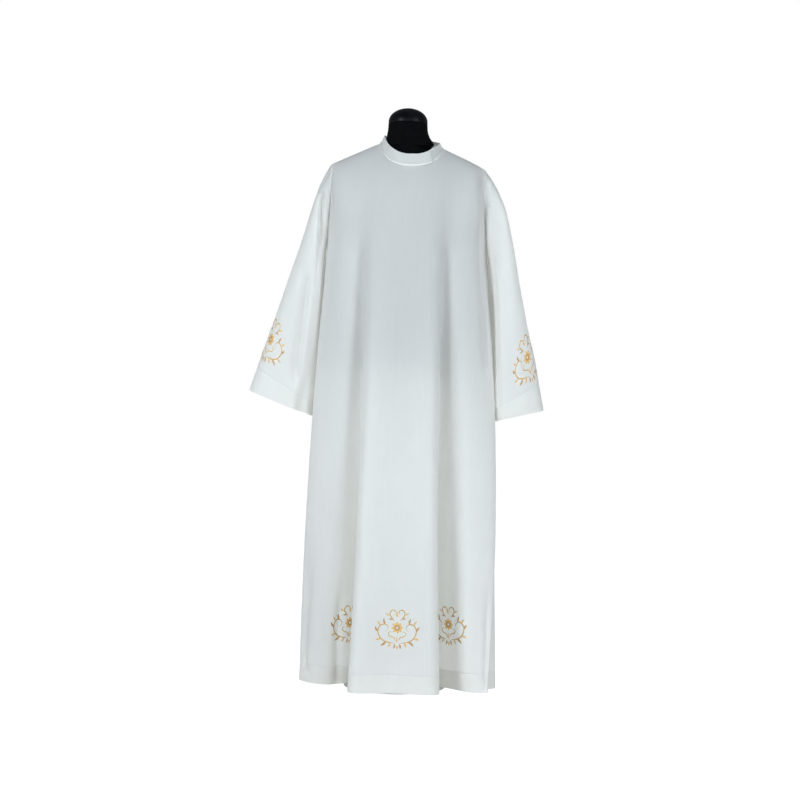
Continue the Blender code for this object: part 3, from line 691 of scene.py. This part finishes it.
def collar_grid():
    """The band from its inner end round the back, right side and front to its outer end."""
    around, heights = zip(*COLLAR_HEIGHTS)
    grid = []
    for share in np.linspace(1, 0, COLLAR_STEPS + 1):
        angle = COLLAR_START - (360 + COLLAR_LAP) * share
        lap = COLLAR_LAP_GAP * (0.5 - share)
        height = np.interp((angle + 180) % 360 - 180, around, heights)
        column = []
        for out, rise in collar_section(height):
            column.append(neck_point(angle, lap + out - COLLAR_LEAN * rise) + np.array((0.0, 0.0, rise)))
        column.append(column[0])
        grid.append(column)
    ends = [np.mean((column, column[::-1]), axis=0) for column in (grid[0], grid[-1])]
    return np.array([ends[0], *grid, ends[1]]).transpose(1, 0, 2)


def collar_piping(name, material):
    """The padded seam at the collar's foot, from the inner end round to the outer end."""
    path = []
    for share in np.linspace(1, 0, COLLAR_STEPS + 1):
        angle = COLLAR_START - 360 * share
        lap = COLLAR_LAP_GAP * (0.5 - share * 360 / (360 + COLLAR_LAP))
        out = lap + COLLAR_THICK / 2 + PIPING_OUT * PIPING_SET_OUT
        path.append(neck_point(angle, out) + np.array((0.0, 0.0, COLLAR_FOOT + PIPING_RISE)))
    path = np.array(path)
    outward = unit((path - (NECK_X, SEAM_Y, 0.0)) * (1, 1, 0))
    shares = np.linspace(0, 1, len(path))
    ends = np.sqrt(np.clip(np.minimum(shares, 1 - shares) * PIPING_END, 0, 1))
    columns = []
    for side in range(PIPING_SIDES + 1):
        turn = math.tau * side / PIPING_SIDES
        out = outward * (PIPING_OUT * math.cos(turn) * ends)[:, None]
        up = np.array((0.0, 0.0, 1.0)) * (PIPING_UP * math.sin(turn) * ends)[:, None]
        columns.append(path + out + up)
    return sheet_mesh(name, np.array(columns), material)


# -------- the dress form
def form_ring(level, width, front, back, shift=0.0):
    """An oval, swollen where the root of the neck stands out of it."""
    turns = np.linspace(0, math.tau, FORM_SIDES + 1)
    power = TORSO_SQUARENESS + (1 - TORSO_SQUARENESS) * smooth((level - TORSO_SQUARE_TO) / TORSO_SQUARE_FADE)
    x = width * squared(np.cos(turns), power)
    y = np.where(np.sin(turns) > 0, back, front) * squared(np.sin(turns), power)
    swell = np.ones_like(x)
    if TORSO_SECTIONS[-1][0] < level <= RIDGE_SECTIONS[-1][0]:
        swell = np.maximum(1.0, 1 / np.hypot(x / NECK_ROOT[0], y / NECK_ROOT[1]))
    return np.stack([shift + x * swell, SEAM_Y + y * swell, np.full_like(x, level)], axis=1)


def form_torso(name, material):
    """The torso and neck, smooth between the sections of their solid."""
    ridge = []
    for level, depth, below in RIDGE_SECTIONS:
        width = SHOULDER_X - (level + below - SHOULDER_Z) / SHOULDER_SLOPE
        ridge.append((level, width, depth, depth))
    sections = TORSO_SECTIONS + tuple(ridge) + NECK_SECTIONS
    rings = np.array([form_ring(*section) for section in sections])
    places = np.linspace(1, len(rings) - 1, FORM_STEPS * (len(rings) - 2) + 1)
    grid = np.concatenate([rings[:1], rows_at(rings, places)])
    ridge_top = RIDGE_SECTIONS[-2][0]
    inside = 1 - smooth((grid[:, :1, 2] - ridge_top) / (NECK_SECTIONS[0][0] - ridge_top))
    outward = unit((grid - (0.0, SEAM_Y, 0.0)) * (1, 1, 0))
    grid = grid - outward * FORM_INSET * inside[..., None]
    lowered = smooth((grid[:, :, 2] - FORM_LOWERED_FROM) / FORM_LOWERED_FADE)
    grid[:, :, 2] -= FORM_INSET * inside * lowered
    bottom = np.broadcast_to(grid[0].mean(axis=0), grid[:1].shape)
    top = np.broadcast_to(grid[-1].mean(axis=0), grid[:1].shape)
    return sheet_mesh(name, np.concatenate([bottom, grid, top]), material)


def form_cap(name, material):
    """The cap on the neck: a dome with a rounded rim and a flat underside."""
    rim, shoulder = CAP_RIM_Z
    profile = [(0.0, rim), (CAP_RADIUS - CAP_ROUND, rim)]
    for step in range(1, CAP_ROUND_STEPS + 1):
        turn = math.pi / 2 * step / CAP_ROUND_STEPS
        rounded = CAP_ROUND * (1 - math.sin(turn))
        profile.append((CAP_RADIUS - rounded, rim + CAP_ROUND * (1 - math.cos(turn))))
    for step in range(CAP_RINGS + 1):
        turn = math.pi / 2 * step / CAP_RINGS
        profile.append((CAP_RADIUS * math.cos(turn), shoulder + (CAP_TOP_Z - shoulder) * math.sin(turn)))
    rings = [form_ring(level, radius, radius, radius) for radius, level in profile]
    return sheet_mesh(name, np.array(rings), material)


# -------- grids of points
def arc_lengths(grid, axis):
    """How far along its row or column each point lies, in metres."""
    steps = np.linalg.norm(np.diff(grid, axis=axis), axis=2)
    start = np.zeros_like(steps[:, :1] if axis == 1 else steps[:1])
    return np.concatenate([start, np.cumsum(steps, axis=axis)], axis=axis)


def grid_normals(grid):
    """The outward normal at each point."""
    return unit(np.cross(np.gradient(grid, axis=1), np.gradient(grid, axis=0)))


def rows_at(grid, places):
    """The rows at these places, which count rows and may lie between two, on smooth curves."""
    places = np.clip(places, 0, len(grid) - 1)
    low = np.minimum(places.astype(int), len(grid) - 2)
    part = (places - low)[:, None, None]
    before, start = grid[np.maximum(low - 1, 0)], grid[low]
    end, after = grid[low + 1], grid[np.minimum(low + 2, len(grid) - 1)]
    bend = 2 * before - 5 * start + 4 * end - after
    twist = 3 * (start - end) + after - before
    return start + part / 2 * (end - before + part * (bend + part * twist))


def turn_up(grid, width, gap, steps):
    """The grid with its first edge folded to the inside, as a hem or a seam allowance of this width."""
    rise = arc_lengths(grid, 0).mean(axis=1)
    numbers = np.arange(len(grid))
    normals = grid_normals(grid)
    radius = gap / 2
    under_places = np.interp(np.linspace(width, radius, steps), rise, numbers)
    under = rows_at(grid, under_places) - rows_at(normals, under_places) * gap
    lifted = np.interp([radius], rise, numbers)
    edge, out = rows_at(grid, lifted)[0], rows_at(normals, lifted)[0]
    down = unit(grid[0] - edge)
    fold = []
    for step in range(1, FOLD_STEPS):
        turn = math.pi * step / FOLD_STEPS
        fold.append(edge - out * (radius + radius * math.cos(turn)) + down * radius * math.sin(turn))
    first = int(np.searchsorted(rise, radius, side="right"))
    return np.concatenate([under, np.array(fold), edge[None], grid[first:]])


def turn_in(grid, sides, width, gap):
    """The grid with a narrow seam allowance folded in at each of these sides: top, first and last."""
    for side in sides:
        grid = grid if side == "top" else grid.transpose(1, 0, 2)
        step = 1 if side == "first" else -1
        sign = 1 if side == "last" else -1
        grid = sign * turn_up(sign * grid[::step], width, gap, SEAM_STEPS)[::step]
        grid = grid if side == "top" else grid.transpose(1, 0, 2)
    return grid


def finer_rows(grid, seam, spread):
    """The grid with more rows on both sides of a seam at this height above its first edge."""
    rise = arc_lengths(grid, 0).mean(axis=1)
    extra = np.interp(seam + np.array(spread), rise, np.arange(len(grid)))
    places = np.union1d(np.arange(len(grid)), extra)
    near = np.diff(places) < MOST_CROWDED
    return rows_at(grid, places[np.concatenate([[True], ~near])])


def groove(grid, seam):
    """The grid, drawn in along a line of stitches at this height above its first edge."""
    rise = arc_lengths(grid, 0).mean(axis=1)
    depth = GROOVE_DEPTH * bell((rise - seam) / GROOVE_WIDTH)
    return grid - grid_normals(grid) * depth[:, None, None]


def grid_faces(rows, columns):
    """The four corners of each face of a grid, as numbers of its points."""
    number = np.arange(rows * columns).reshape(rows, columns)
    corners = (number[:-1, :-1], number[:-1, 1:], number[1:, 1:], number[1:, :-1])
    return np.stack(corners, axis=-1).reshape(-1, 4)


def add_object(name, data):
    made = bpy.data.objects.new(name, data)
    bpy.context.scene.collection.objects.link(made)
    return made


def add_mesh(name, points, faces, *materials):
    mesh = bpy.data.meshes.new(name)
    mesh.from_pydata(points.tolist(), [], faces.tolist())
    mesh.shade_smooth()
    for material in materials:
        mesh.materials.append(material)
    return add_object(name, mesh)


def add_map(made, name, faces, places):
    """Gives a mesh object a UV map that holds its points' places, in metres."""
    layer = made.data.uv_layers.new(name=name)
    layer.data.foreach_set("uv", places[faces.ravel()].astype(np.float32).ravel())


def sheet_mesh(name, grid, material):
    """A smooth mesh of this grid of points, whose UV map is in metres of cloth."""
    faces = grid_faces(*grid.shape[:2])
    made = add_mesh(name, grid.reshape(-1, 3), faces, material)
    across = arc_lengths(grid, 1)
    across -= across[:, [grid.shape[1] // 2]]
    add_map(made, CLOTH_MAP, faces, np.stack([across, arc_lengths(grid, 0)], axis=-1).reshape(-1, 2))
    return made


# -------- creases
def crease_depths(grid, creases):
    """How far each point is pushed out by these creases, which run along paths of (x, z) places."""
    depth = np.zeros(grid.shape[:2])
    flat = grid[:, :, (0, 2)]
    for path, width, deepest, fade_in, fade_out in creases:
        path = np.array(path)
        lengths = np.linalg.norm(np.diff(path, axis=0), axis=1)
        total = lengths.sum()
        nearest = np.full(depth.shape, np.inf)
        along = np.zeros(depth.shape)
        for start, end, length, before in zip(path[:-1], path[1:], lengths, np.cumsum(lengths) - lengths):
            part = np.clip(((flat - start) @ (end - start)) / length**2, 0, 1)
            away = np.linalg.norm(flat - start - part[..., None] * (end - start), axis=2)
            closer = away < nearest
            nearest = np.where(closer, away, nearest)
            along = np.where(closer, before + part * length, along)
        share = along / total
        fade = smooth(share / fade_in) * smooth((1 - share) / fade_out)
        depth += deepest * bell(nearest / width) * fade
    return depth


def creased(grid, creases, facing, away):
    """The grid with these creases, on the side that faces the front, -1, or the back, 1, clear of seams."""
    normals = grid_normals(grid)
    depth = crease_depths(grid, creases) * smooth(facing * normals[..., 1] * CREASE_TURNED)
    depth *= smooth(away / CREASE_SEAM_FADE)
    return grid + normals * depth[..., None]


def seam_drawn_in(grid, away, side):
    """The grid, drawn in towards the middle of the armhole near its seam, with small puckers on top."""
    middle = np.array((SHOULDER_X * side, SEAM_Y, (SHOULDER_Z + ARMPIT_Z) / 2 - ARMHOLE_LOWERED))
    inward = unit((middle - grid) * (0, 1, 1))
    around = np.arctan2(grid[..., 1] - middle[1], grid[..., 2] - middle[2]) * PUCKER_RADIUS
    pucker = PUCKER_DEPTH * np.sin(math.tau * around / PUCKER_PITCH)
    pucker *= smooth((grid[..., 2] - PUCKER_FROM) / PUCKER_FADE)
    upper = smooth((grid[..., 2] - ARMPIT_Z) / SEAM_VALLEY_FADE)
    upper *= SEAM_VALLEY_LEFT + (1 - SEAM_VALLEY_LEFT) * smooth((SHOULDER_Z - grid[..., 2]) / SEAM_VALLEY_TOP)
    valley, width = SEAM_VALLEYS[side]
    near = bell(away / width)
    wide = bell(away / (PUCKER_REACH * width))
    depth = valley * near + pucker * (wide - near)
    return grid + inward * (depth * upper)[..., None]


# -------- materials
def new_material(name):
    """A material and its empty node tree."""
    material = bpy.data.materials.new(name)
    material.use_nodes = True
    material.node_tree.nodes.clear()
    return material, material.node_tree


def add_node(tree, kind, *ordered, **named):
    """A node whose inputs take these values or sockets, in order, or by name with _ for a space."""
    node = tree.nodes.new(kind)
    inputs = list(zip(node.inputs, ordered))
    inputs += [(node.inputs[name.replace("_", " ")], value) for name, value in named.items()]
    for socket, value in inputs:
        if isinstance(value, bpy.types.NodeSocket):
            tree.links.new(value, socket)
        else:
            socket.default_value = value
    return node


def principled(tree, **values):
    return add_node(tree, "ShaderNodeBsdfPrincipled", **values).outputs[0]


def shown(material, shader):
    """The material, with this shader on its surface."""
    add_node(material.node_tree, "ShaderNodeOutputMaterial", shader)
    return material


def coated(material, pattern, colours, span, height, distance, **values):
    """The material, with colours that follow a pattern, bumps that follow a height, and these inputs."""
    tree = material.node_tree
    colour = ramp_of(tree, pattern, colours, span)
    bump = bump_of(tree, height, distance)
    return shown(material, principled(tree, Base_Color=colour, Normal=bump, **values))


def uv_node(tree, layer):
    node = tree.nodes.new("ShaderNodeUVMap")
    node.uv_map = layer
    return node.outputs[0]


def noise_of(tree, place, **values):
    return add_node(tree, "ShaderNodeTexNoise", Vector=place, **values).outputs["Fac"]


def stretched_noise(tree, place, size, detail):
    """Noise from 0 to 1 whose lumps have this size across and along, in metres."""
    mapping = add_node(tree, "ShaderNodeMapping", Vector=place, Scale=(1 / size[0], 1 / size[1], 1))
    return noise_of(tree, mapping.outputs[0], Scale=1.0, Detail=detail, Roughness=0.6)


def ramp_of(tree, value, colours, span):
    """A colour that goes from the first to the second of two as the value goes over this span."""
    ramp = add_node(tree, "ShaderNodeValToRGB", value)
    for stop, position, colour in zip(ramp.color_ramp.elements, span, colours):
        stop.position = position
        stop.color = (*colour, 1.0)
    return ramp.outputs[0]


def waves(tree, place, pitch, direction):
    """Bands this far apart in metres; their value goes from 0 to 1."""
    wave = add_node(tree, "ShaderNodeTexWave", Vector=place, Scale=1 / WAVE_TURNS / pitch, Distortion=0.0)
    wave.bands_direction = direction
    return wave.outputs["Fac"]


def math_of(tree, kind, first, second):
    node = add_node(tree, "ShaderNodeMath", first, second)
    node.operation = kind
    return node.outputs[0]


def bump_of(tree, height, distance):
    return add_node(tree, "ShaderNodeBump", Strength=1.0, Distance=distance, Height=height).outputs[0]


def woven(tree, place):
    """The height of a plain weave, with thicker yarns here and there."""
    yarns = math_of(tree, "MULTIPLY", *[waves(tree, place, YARN_PITCH, axis) for axis in "XY"])
    slubs = math_of(tree, "ADD", *[stretched_noise(tree, place, size, detail=3.0) for size in SLUB_SIZES])
    return math_of(tree, "ADD", yarns, slubs)


def cloth_material(name, see_through):
    """Thin white polyester: a fine plain weave, a little sheen, and light that comes through."""
    material, tree = new_material(name)
    place = uv_node(tree, CLOTH_MAP)
    streaks = stretched_noise(tree, place, STREAK_SIZE, detail=3.0)
    streaks = math_of(tree, "MULTIPLY", streaks, STREAK_SHARE)
    patches = stretched_noise(tree, place, PATCH_SIZE, detail=2.0)
    patches = math_of(tree, "MULTIPLY", patches, 1 - STREAK_SHARE)
    shade = math_of(tree, "ADD", streaks, patches)
    colour = ramp_of(tree, shade, CLOTH_COLOURS, span=(0.34, 0.62))
    bump = bump_of(tree, woven(tree, place), distance=0.00006)
    values = {"Roughness": 0.75, "Specular_IOR_Level": 0.25, "Sheen_Weight": 0.10}
    front_lit = principled(tree, Base_Color=colour, Normal=bump, **values)
    back_lit = add_node(tree, "ShaderNodeBsdfTranslucent", Color=colour, Normal=bump).outputs[0]
    mixed = add_node(tree, "ShaderNodeMixShader", see_through, front_lit, back_lit)
    return shown(material, mixed.outputs[0])


def thread_material(name, colours):
    """Satin stitches side by side across a band: glossy thread, with painted shade between the stitches and
    painted uneven light in patches.
    """
    material, tree = new_material(name)
    place = uv_node(tree, THREAD_MAP)
    # the thread's colour follows the stitches, as painted shade between them, and the noise, as painted
    # uneven light; its bumps follow the same
    stitches = math_of(tree, "MULTIPLY", waves(tree, place, SATIN_PITCH, "X"), SATIN_SHARE)
    value = math_of(tree, "ADD", stitches, stretched_noise(tree, place, STITCH_SIZE, detail=2.0))
    gloss = {"Roughness": 0.42, "Specular_IOR_Level": 0.6, "Sheen_Weight": 0.15}
    return coated(material, value, colours, span=(0.35, 0.85), height=value, distance=0.00012, **gloss)


def sewing_material():
    """White sewing thread with its twist, and painted shade in the twist's grooves."""
    material, tree = new_material("sewing_thread")
    twist = waves(tree, uv_node(tree, THREAD_MAP), TWIST_PITCH, "DIAGONAL")
    # the colour follows the twist: painted shade in its grooves
    bumps = {"height": twist, "distance": 0.00006}
    return coated(material, twist, SEWING_WHITE_AND_SHADE, span=(0.2, 0.8), **bumps, Roughness=0.5)


def object_place(tree):
    return add_node(tree, "ShaderNodeTexCoord").outputs["Object"]


def jersey_material():
    """The form's black knitted cover: fine ribs of loops, and lint that makes it a little grey."""
    material, tree = new_material("form_cover")
    place = object_place(tree)
    ribs = math_of(tree, "ADD", waves(tree, place, RIB_PITCH, "X"), waves(tree, place, LOOP_PITCH, "Z"))
    lint = noise_of(tree, place, Scale=60.0, Detail=4.0)
    gloss = {"Roughness": 0.8, "Specular_IOR_Level": 0.04}
    return coated(material, lint, FORM_COLOURS, span=(0.3, 0.8), height=ribs, distance=0.0002, **gloss)


def cap_material():
    """The form's cap: black satin paint, faintly mottled, and duller in places."""
    material, tree = new_material("form_cap")
    mottle = noise_of(tree, object_place(tree), Scale=35.0, Detail=6.0)
    rough = ramp_of(tree, mottle, CAP_ROUGHNESS, span=(0.3, 0.75))
    gloss = {"Roughness": rough, "Specular_IOR_Level": 0.08}
    return coated(material, mottle, CAP_COLOURS, span=(0.3, 0.8), height=mottle, distance=0.0001, **gloss)


def powder_material():
    """Pale grey powder coat: a fine orange peel, a touch darker where it has been handled."""
    material, tree = new_material("form_stand")
    place = object_place(tree)
    handled = noise_of(tree, place, Scale=9.0, Detail=3.0)
    peel = noise_of(tree, place, Scale=900.0, Detail=2.0)
    bumps = {"height": peel, "distance": 0.00008}
    return coated(material, handled, STAND_COLOURS, span=(0.3, 0.6), **bumps, Roughness=0.48)


def floor_material():
    material, tree = new_material("pale_floor")
    values = {"Roughness": 0.9, "Emission_Color": WHITE, "Emission_Strength": FLOOR_GLOW}
    return shown(material, principled(tree, Base_Color=FLOOR_COLOUR, **values))


# -------- sewing
def sewn(name, strips, materials):
    """One mesh of raised strips of thread: for each, its points, its places and its material's number."""
    points, places, faces, slots = [], [], [], []
    for rows, along, slot in strips:
        faces.append(grid_faces(*rows.shape[:2]) + sum(map(len, points)))
        points.append(rows.reshape(-1, 3))
        places.append(along.reshape(-1, 2))
        slots += [slot] * len(faces[-1])
    faces = np.concatenate(faces)
    made = add_mesh(name, np.concatenate(points), faces, *materials)
    made.data.polygons.foreach_set("material_index", slots)
    add_map(made, THREAD_MAP, faces, np.concatenate(places))
    return made


class Cloth:
    """The outer surface of a piece of cloth, to lay flat shapes on."""

    def __init__(self, grid):
        self.grid = grid
        self.normals = grid_normals(grid)
        self.across = arc_lengths(grid, 1)
        self.up = arc_lengths(grid, 0)

    def nearest(self, place):
        """The row and column nearest to this (x, z) place, on the side that faces the front."""
        away = np.linalg.norm(self.grid[..., (0, 2)] - np.array(place), axis=2)
        away[self.normals[..., 1] > FACING_FRONT] = np.inf
        return np.unravel_index(np.argmin(away), away.shape)

    def lay(self, anchor, flat, lift):
        """Flat points (across, up) in metres from the anchor, laid on the cloth and lifted off it."""
        row, column = anchor
        rise = self.up[:, column]
        rows = np.interp(rise[row] + flat[..., 1], rise, np.arange(len(rise)))
        laid = np.empty((*lift.shape, 3))
        for number in np.ndindex(lift.shape):
            low = min(int(rows[number]), len(rise) - 2)
            part = rows[number] - low
            lengths = self.across[low] * (1 - part) + self.across[low + 1] * part
            at = np.interp(lengths[column] + flat[number][0], lengths, np.arange(len(lengths)))
            left = min(int(at), len(lengths) - 2)
            share = at - left
            weights = np.outer((1 - part, part), (1 - share, share))[..., None]
            area = slice(low, low + 2), slice(left, left + 2)
            point = (self.grid[area] * weights).sum(axis=(0, 1))
            normal = (self.normals[area] * weights).sum(axis=(0, 1))
            laid[number] = point + unit(normal) * lift[number]
        return laid


def even_path(points, step):
    """Points this far apart on a smooth curve through these, and how far along it they lie."""
    points = np.array(points, dtype=float)[:, None]
    fine = rows_at(points, np.linspace(0, len(points) - 1, PATH_FINENESS * len(points)))
    lengths = arc_lengths(fine, 0)[:, 0]
    places = np.linspace(0, lengths[-1], max(FEWEST_STEPS, int(lengths[-1] / step) + 1))
    return np.stack([np.interp(places, lengths, fine[:, 0, axis]) for axis in (0, 1)], axis=1), places


def strip(path, places, widths, height, sunk):
    """A raised band along a flat path: its flat points, its lifts and its places in metres of thread."""
    along = unit(np.gradient(path, axis=0))
    beside = np.stack([-along[:, 1], along[:, 0]], axis=1)
    full = widths / widths.max()
    flat, lifts, uv = [], [], []
    for across, rise in THREAD_SECTION:
        flat.append(path + beside * widths[:, None] / 2 * across)
        lifts.append(height * rise * full - sunk)
        uv.append(np.stack([places, widths / 2 * across], axis=1))
    return np.stack(flat, axis=1), np.stack(lifts, axis=1), np.stack(uv, axis=1)


def tapered(places, width, start, end):
    """The widths of a band that grows from its start and narrows to its end."""
    share = places / places[-1]
    return width * (SCROLL_END + (1 - SCROLL_END) * smooth(share / start) * smooth((1 - share) / end))


def leaf_widths(places, width):
    swell = np.sin(math.pi * (places / places[-1]) ** LEAF_FULLNESS) ** LEAF_FULLNESS
    return width * (LEAF_END + (1 - LEAF_END) * swell)


def motif_strips():
    """The gold motif as (strip, thread) pairs in millimetres: a rosette between leafy scrolls."""
    strips = []
    for sign in (-1, 1):
        mirror = np.array((sign, 1))
        for points, width in MOTIF_SCROLLS:
            path, places = even_path(np.array(points) * mirror, MOTIF_STEP)
            widths = tapered(places, width, *SCROLL_TAPERS)
            edging = widths + MOTIF_EDGE * widths / width
            strips.append((strip(path, places, edging, EDGE_HEIGHT, THREAD_SUNK), "pale"))
            strips.append((strip(path, places, widths, THREAD_HEIGHT, THREAD_SUNK), "deep"))
        for number, (base, tip, width) in enumerate(MOTIF_LEAVES):
            strips.append((leaf(np.array(base) * mirror, np.array(tip) * mirror, width), THREADS[number % 2]))
    for base, tip, width in MOTIF_MIDDLE_LEAVES:
        strips.append((leaf(np.array(base), np.array(tip), width), "bright"))
    for start, end, width, turn, thread in PETAL_RINGS:
        for number in range(PETALS):
            angle = math.radians(turn + 360 * number / PETALS)
            out = np.array((math.sin(angle), math.cos(angle)))
            middle = np.array(ROSETTE_PLACE)
            strips.append((leaf(middle + out * start, middle + out * end, width), thread))
    return strips


def leaf(base, tip, width):
    """A leaf from base to tip, bent a little to one side."""
    bend = np.array((-(tip - base)[1], (tip - base)[0])) * LEAF_BEND
    path, places = even_path((base, (base + tip) / 2 + bend, tip), MOTIF_STEP)
    return strip(path, places, leaf_widths(places, width), THREAD_HEIGHT, THREAD_SUNK)


def sew_motif(motif, cloth, materials):
    anchor = cloth.nearest(motif.place)
    shift = -motif.edge * MOTIF_WIDTH / 2
    strips = []
    for (flat, lifts, uv), thread in motif_strips():
        laid = cloth.lay(anchor, (flat + (shift, 0)) / 1000, lifts / 1000)
        strips.append((laid, uv / 1000, THREADS.index(thread)))
    return sewn(motif.name, strips, materials)


def sew_hem(name, cloth, height, material):
    """One line of stitches along a hem, sunk in its groove."""
    strips = []
    end = cloth.across[0, -1] * STITCHED_SHARE - STITCH_LENGTH
    for start in np.arange(STITCH_PITCH, end, STITCH_PITCH):
        path = np.stack([start + STITCH_PLACES, np.full(len(STITCH_PLACES), height)], axis=1)
        flat, lifts, uv = strip(path, STITCH_PLACES, STITCH_WIDTHS, STITCH_HEIGHT, STITCH_SUNK)
        strips.append((cloth.lay((0, 0), flat, lifts), uv, 0))
    return sewn(name, strips, (material,))


# -------- the pieces
def body_form(lines, facing, finer, creases):
    """The outer surface of the front or the back, as a grid from the hem up."""
    grid = body_grid(lines, facing, finer)
    across = arc_lengths(grid, 1)
    other = across[:, -1:] - across
    right_first = grid[0, 0, 0] < grid[0, -1, 0]
    grid = seam_drawn_in(grid, across, -1 if right_first else 1)
    grid = seam_drawn_in(grid, other, 1 if right_first else -1)
    return creased(grid, creases, facing, np.minimum(across, other))


def shell(name, grid, hem, sides, material):
    """A piece of cloth with its hem turned up and seam allowances turned in at these sides."""
    grid = groove(finer_rows(grid, hem, GROOVE_ROWS), hem)
    grid = turn_in(grid, sides, SEAM_ALLOWANCE, SEAM_GAP)
    return sheet_mesh(name, turn_up(grid, hem, HEM_GAP, HEM_STEPS), material)


def sleeve_form(side, rows, folds, creases):
    """The outer surface of a sleeve, as a grid from the cuff up."""
    grid = sleeve_grid(side, rows, folds)
    rise = arc_lengths(grid, 0)
    away = rise[-1:] - rise
    return creased(seam_drawn_in(grid, away, side), creases, -1, away)


def camera():
    data = bpy.data.cameras.new("camera")
    data.sensor_width = SENSOR
    data.lens = SENSOR * -CAMERA_PLACE[1] / VIEW_WIDTH
    data.clip_end = CAMERA_REACH
    made = add_object("camera", data)
    lean = math.radians(CAMERA_ROLL)
    right = (math.cos(lean), 0, math.sin(lean))
    up = (-math.sin(lean), 0, math.cos(lean))
    columns = zip(right, up, (0, -1, 0), CAMERA_PLACE)
    made.matrix_world = Matrix([*map(tuple, columns), (0, 0, 0, 1)])
    bpy.context.scene.camera = made


def area_light(name, place, size, power, beam):
    data = bpy.data.lights.new(name, "AREA")
    data.shape = "RECTANGLE"
    data.size, data.size_y = size
    data.energy = power
    data.spread = math.radians(beam)
    data.color = LIGHT_COLOUR
    made = add_object(name, data)
    made.location = place
    made.rotation_euler = (Vector(LIGHT_TARGET) - Vector(place)).to_track_quat("-Z", "Y").to_euler()
    made.visible_camera = False


def world():
    """White behind everything, and softer light from it than the camera sees."""
    made = bpy.data.worlds.new("world")
    bpy.context.scene.world = made
    made.use_nodes = True
    tree = made.node_tree
    tree.nodes.clear()
    light = add_node(tree, "ShaderNodeBackground", (*LIGHT_COLOUR, 1.0), WORLD_STRENGTH)
    seen = add_node(tree, "ShaderNodeBackground", WHITE)
    to_camera = add_node(tree, "ShaderNodeLightPath").outputs["Is Camera Ray"]
    mixed = add_node(tree, "ShaderNodeMixShader", to_camera, light.outputs[0], seen.outputs[0])
    add_node(tree, "ShaderNodeOutputWorld", mixed.outputs[0])


def floor():
    wide = FLOOR_SIZE / 2
    corners = [(x, y, -FLOOR_DROP) for x, y in ((-wide, -wide), (wide, -wide), (wide, wide), (-wide, wide))]
    made = add_mesh("floor", np.array(corners), np.array([(0, 1, 2, 3)]), floor_material())
    made.visible_diffuse = False


def main():
    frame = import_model()
    cloth = cloth_material("alb_cloth", CLOTH_THROUGH)
    forms = {
        "front_panel": body_form(FRONT_LINES, -1, FRONT_FINER, FRONT_CREASES),
        "back_panel": body_form(BACK_LINES, 1, BACK_FINER, BACK_CREASES),
        "sleeve_right": sleeve_form(-1, SLEEVE_RIGHT_ROWS, SLEEVE_RIGHT_FOLDS, SLEEVE_RIGHT_CREASES),
        "sleeve_left": sleeve_form(1, SLEEVE_LEFT_ROWS, SLEEVE_LEFT_FOLDS, SLEEVE_LEFT_CREASES),
    }
    hems = {node: HEM_WIDTH if "panel" in node else CUFF_WIDTH for node in forms}
    pieces = {}
    for node, grid in forms.items():
        sides = ("top", "first", "last") if "panel" in node else ("top",)
        pieces[node] = shell("alb_" + node.removesuffix("_panel"), grid, hems[node], sides, cloth)
    collar_cloth = cloth_material("alb_collar_cloth", COLLAR_THROUGH)
    pieces["collar_band"] = sheet_mesh("alb_collar", collar_grid(), collar_cloth)
    piping = collar_piping("alb_collar_piping", cloth_material("alb_piping", PIPING_THROUGH))
    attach(piping, "root")
    for node, piece in pieces.items():
        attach(piece, "root")
        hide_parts(node)
    cloths = {node: Cloth(grid) for node, grid in forms.items()}
    golds = []
    for thread, colours in zip(THREADS, (DEEP_GOLD_LIT_AND_SHADED, BRIGHT_GOLD_LIT_AND_SHADED, PALE_GOLD_LIT_AND_SHADED)):
        golds.append(thread_material("gold_" + thread, colours))
    for motif in MOTIFS:
        made = sew_motif(motif, cloths[motif.node], golds)
        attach(made, "root")
    sewing = sewing_material()
    for node, form in cloths.items():
        made = sew_hem("stitches_" + node, form, hems[node], sewing)
        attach(made, "root")
    for made, node, slot in (
        (form_torso("dress_form_torso", jersey_material()), "form_torso", "form_cover"),
        (form_cap("dress_form_cap", cap_material()), "form_neck_cap", "form_cap"),
    ):
        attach(made, "root")
        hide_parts(node)
    stand = powder_material()
    for node in ("form_pole", "form_base"):
        frame["nodes"][node].data.materials.clear()
        frame["nodes"][node].data.materials.append(stand)
    world()
    floor()
    for light in LIGHTS:
        area_light(*light)
    camera()
    bpy.context.scene.view_settings.view_transform = "Standard"


main()
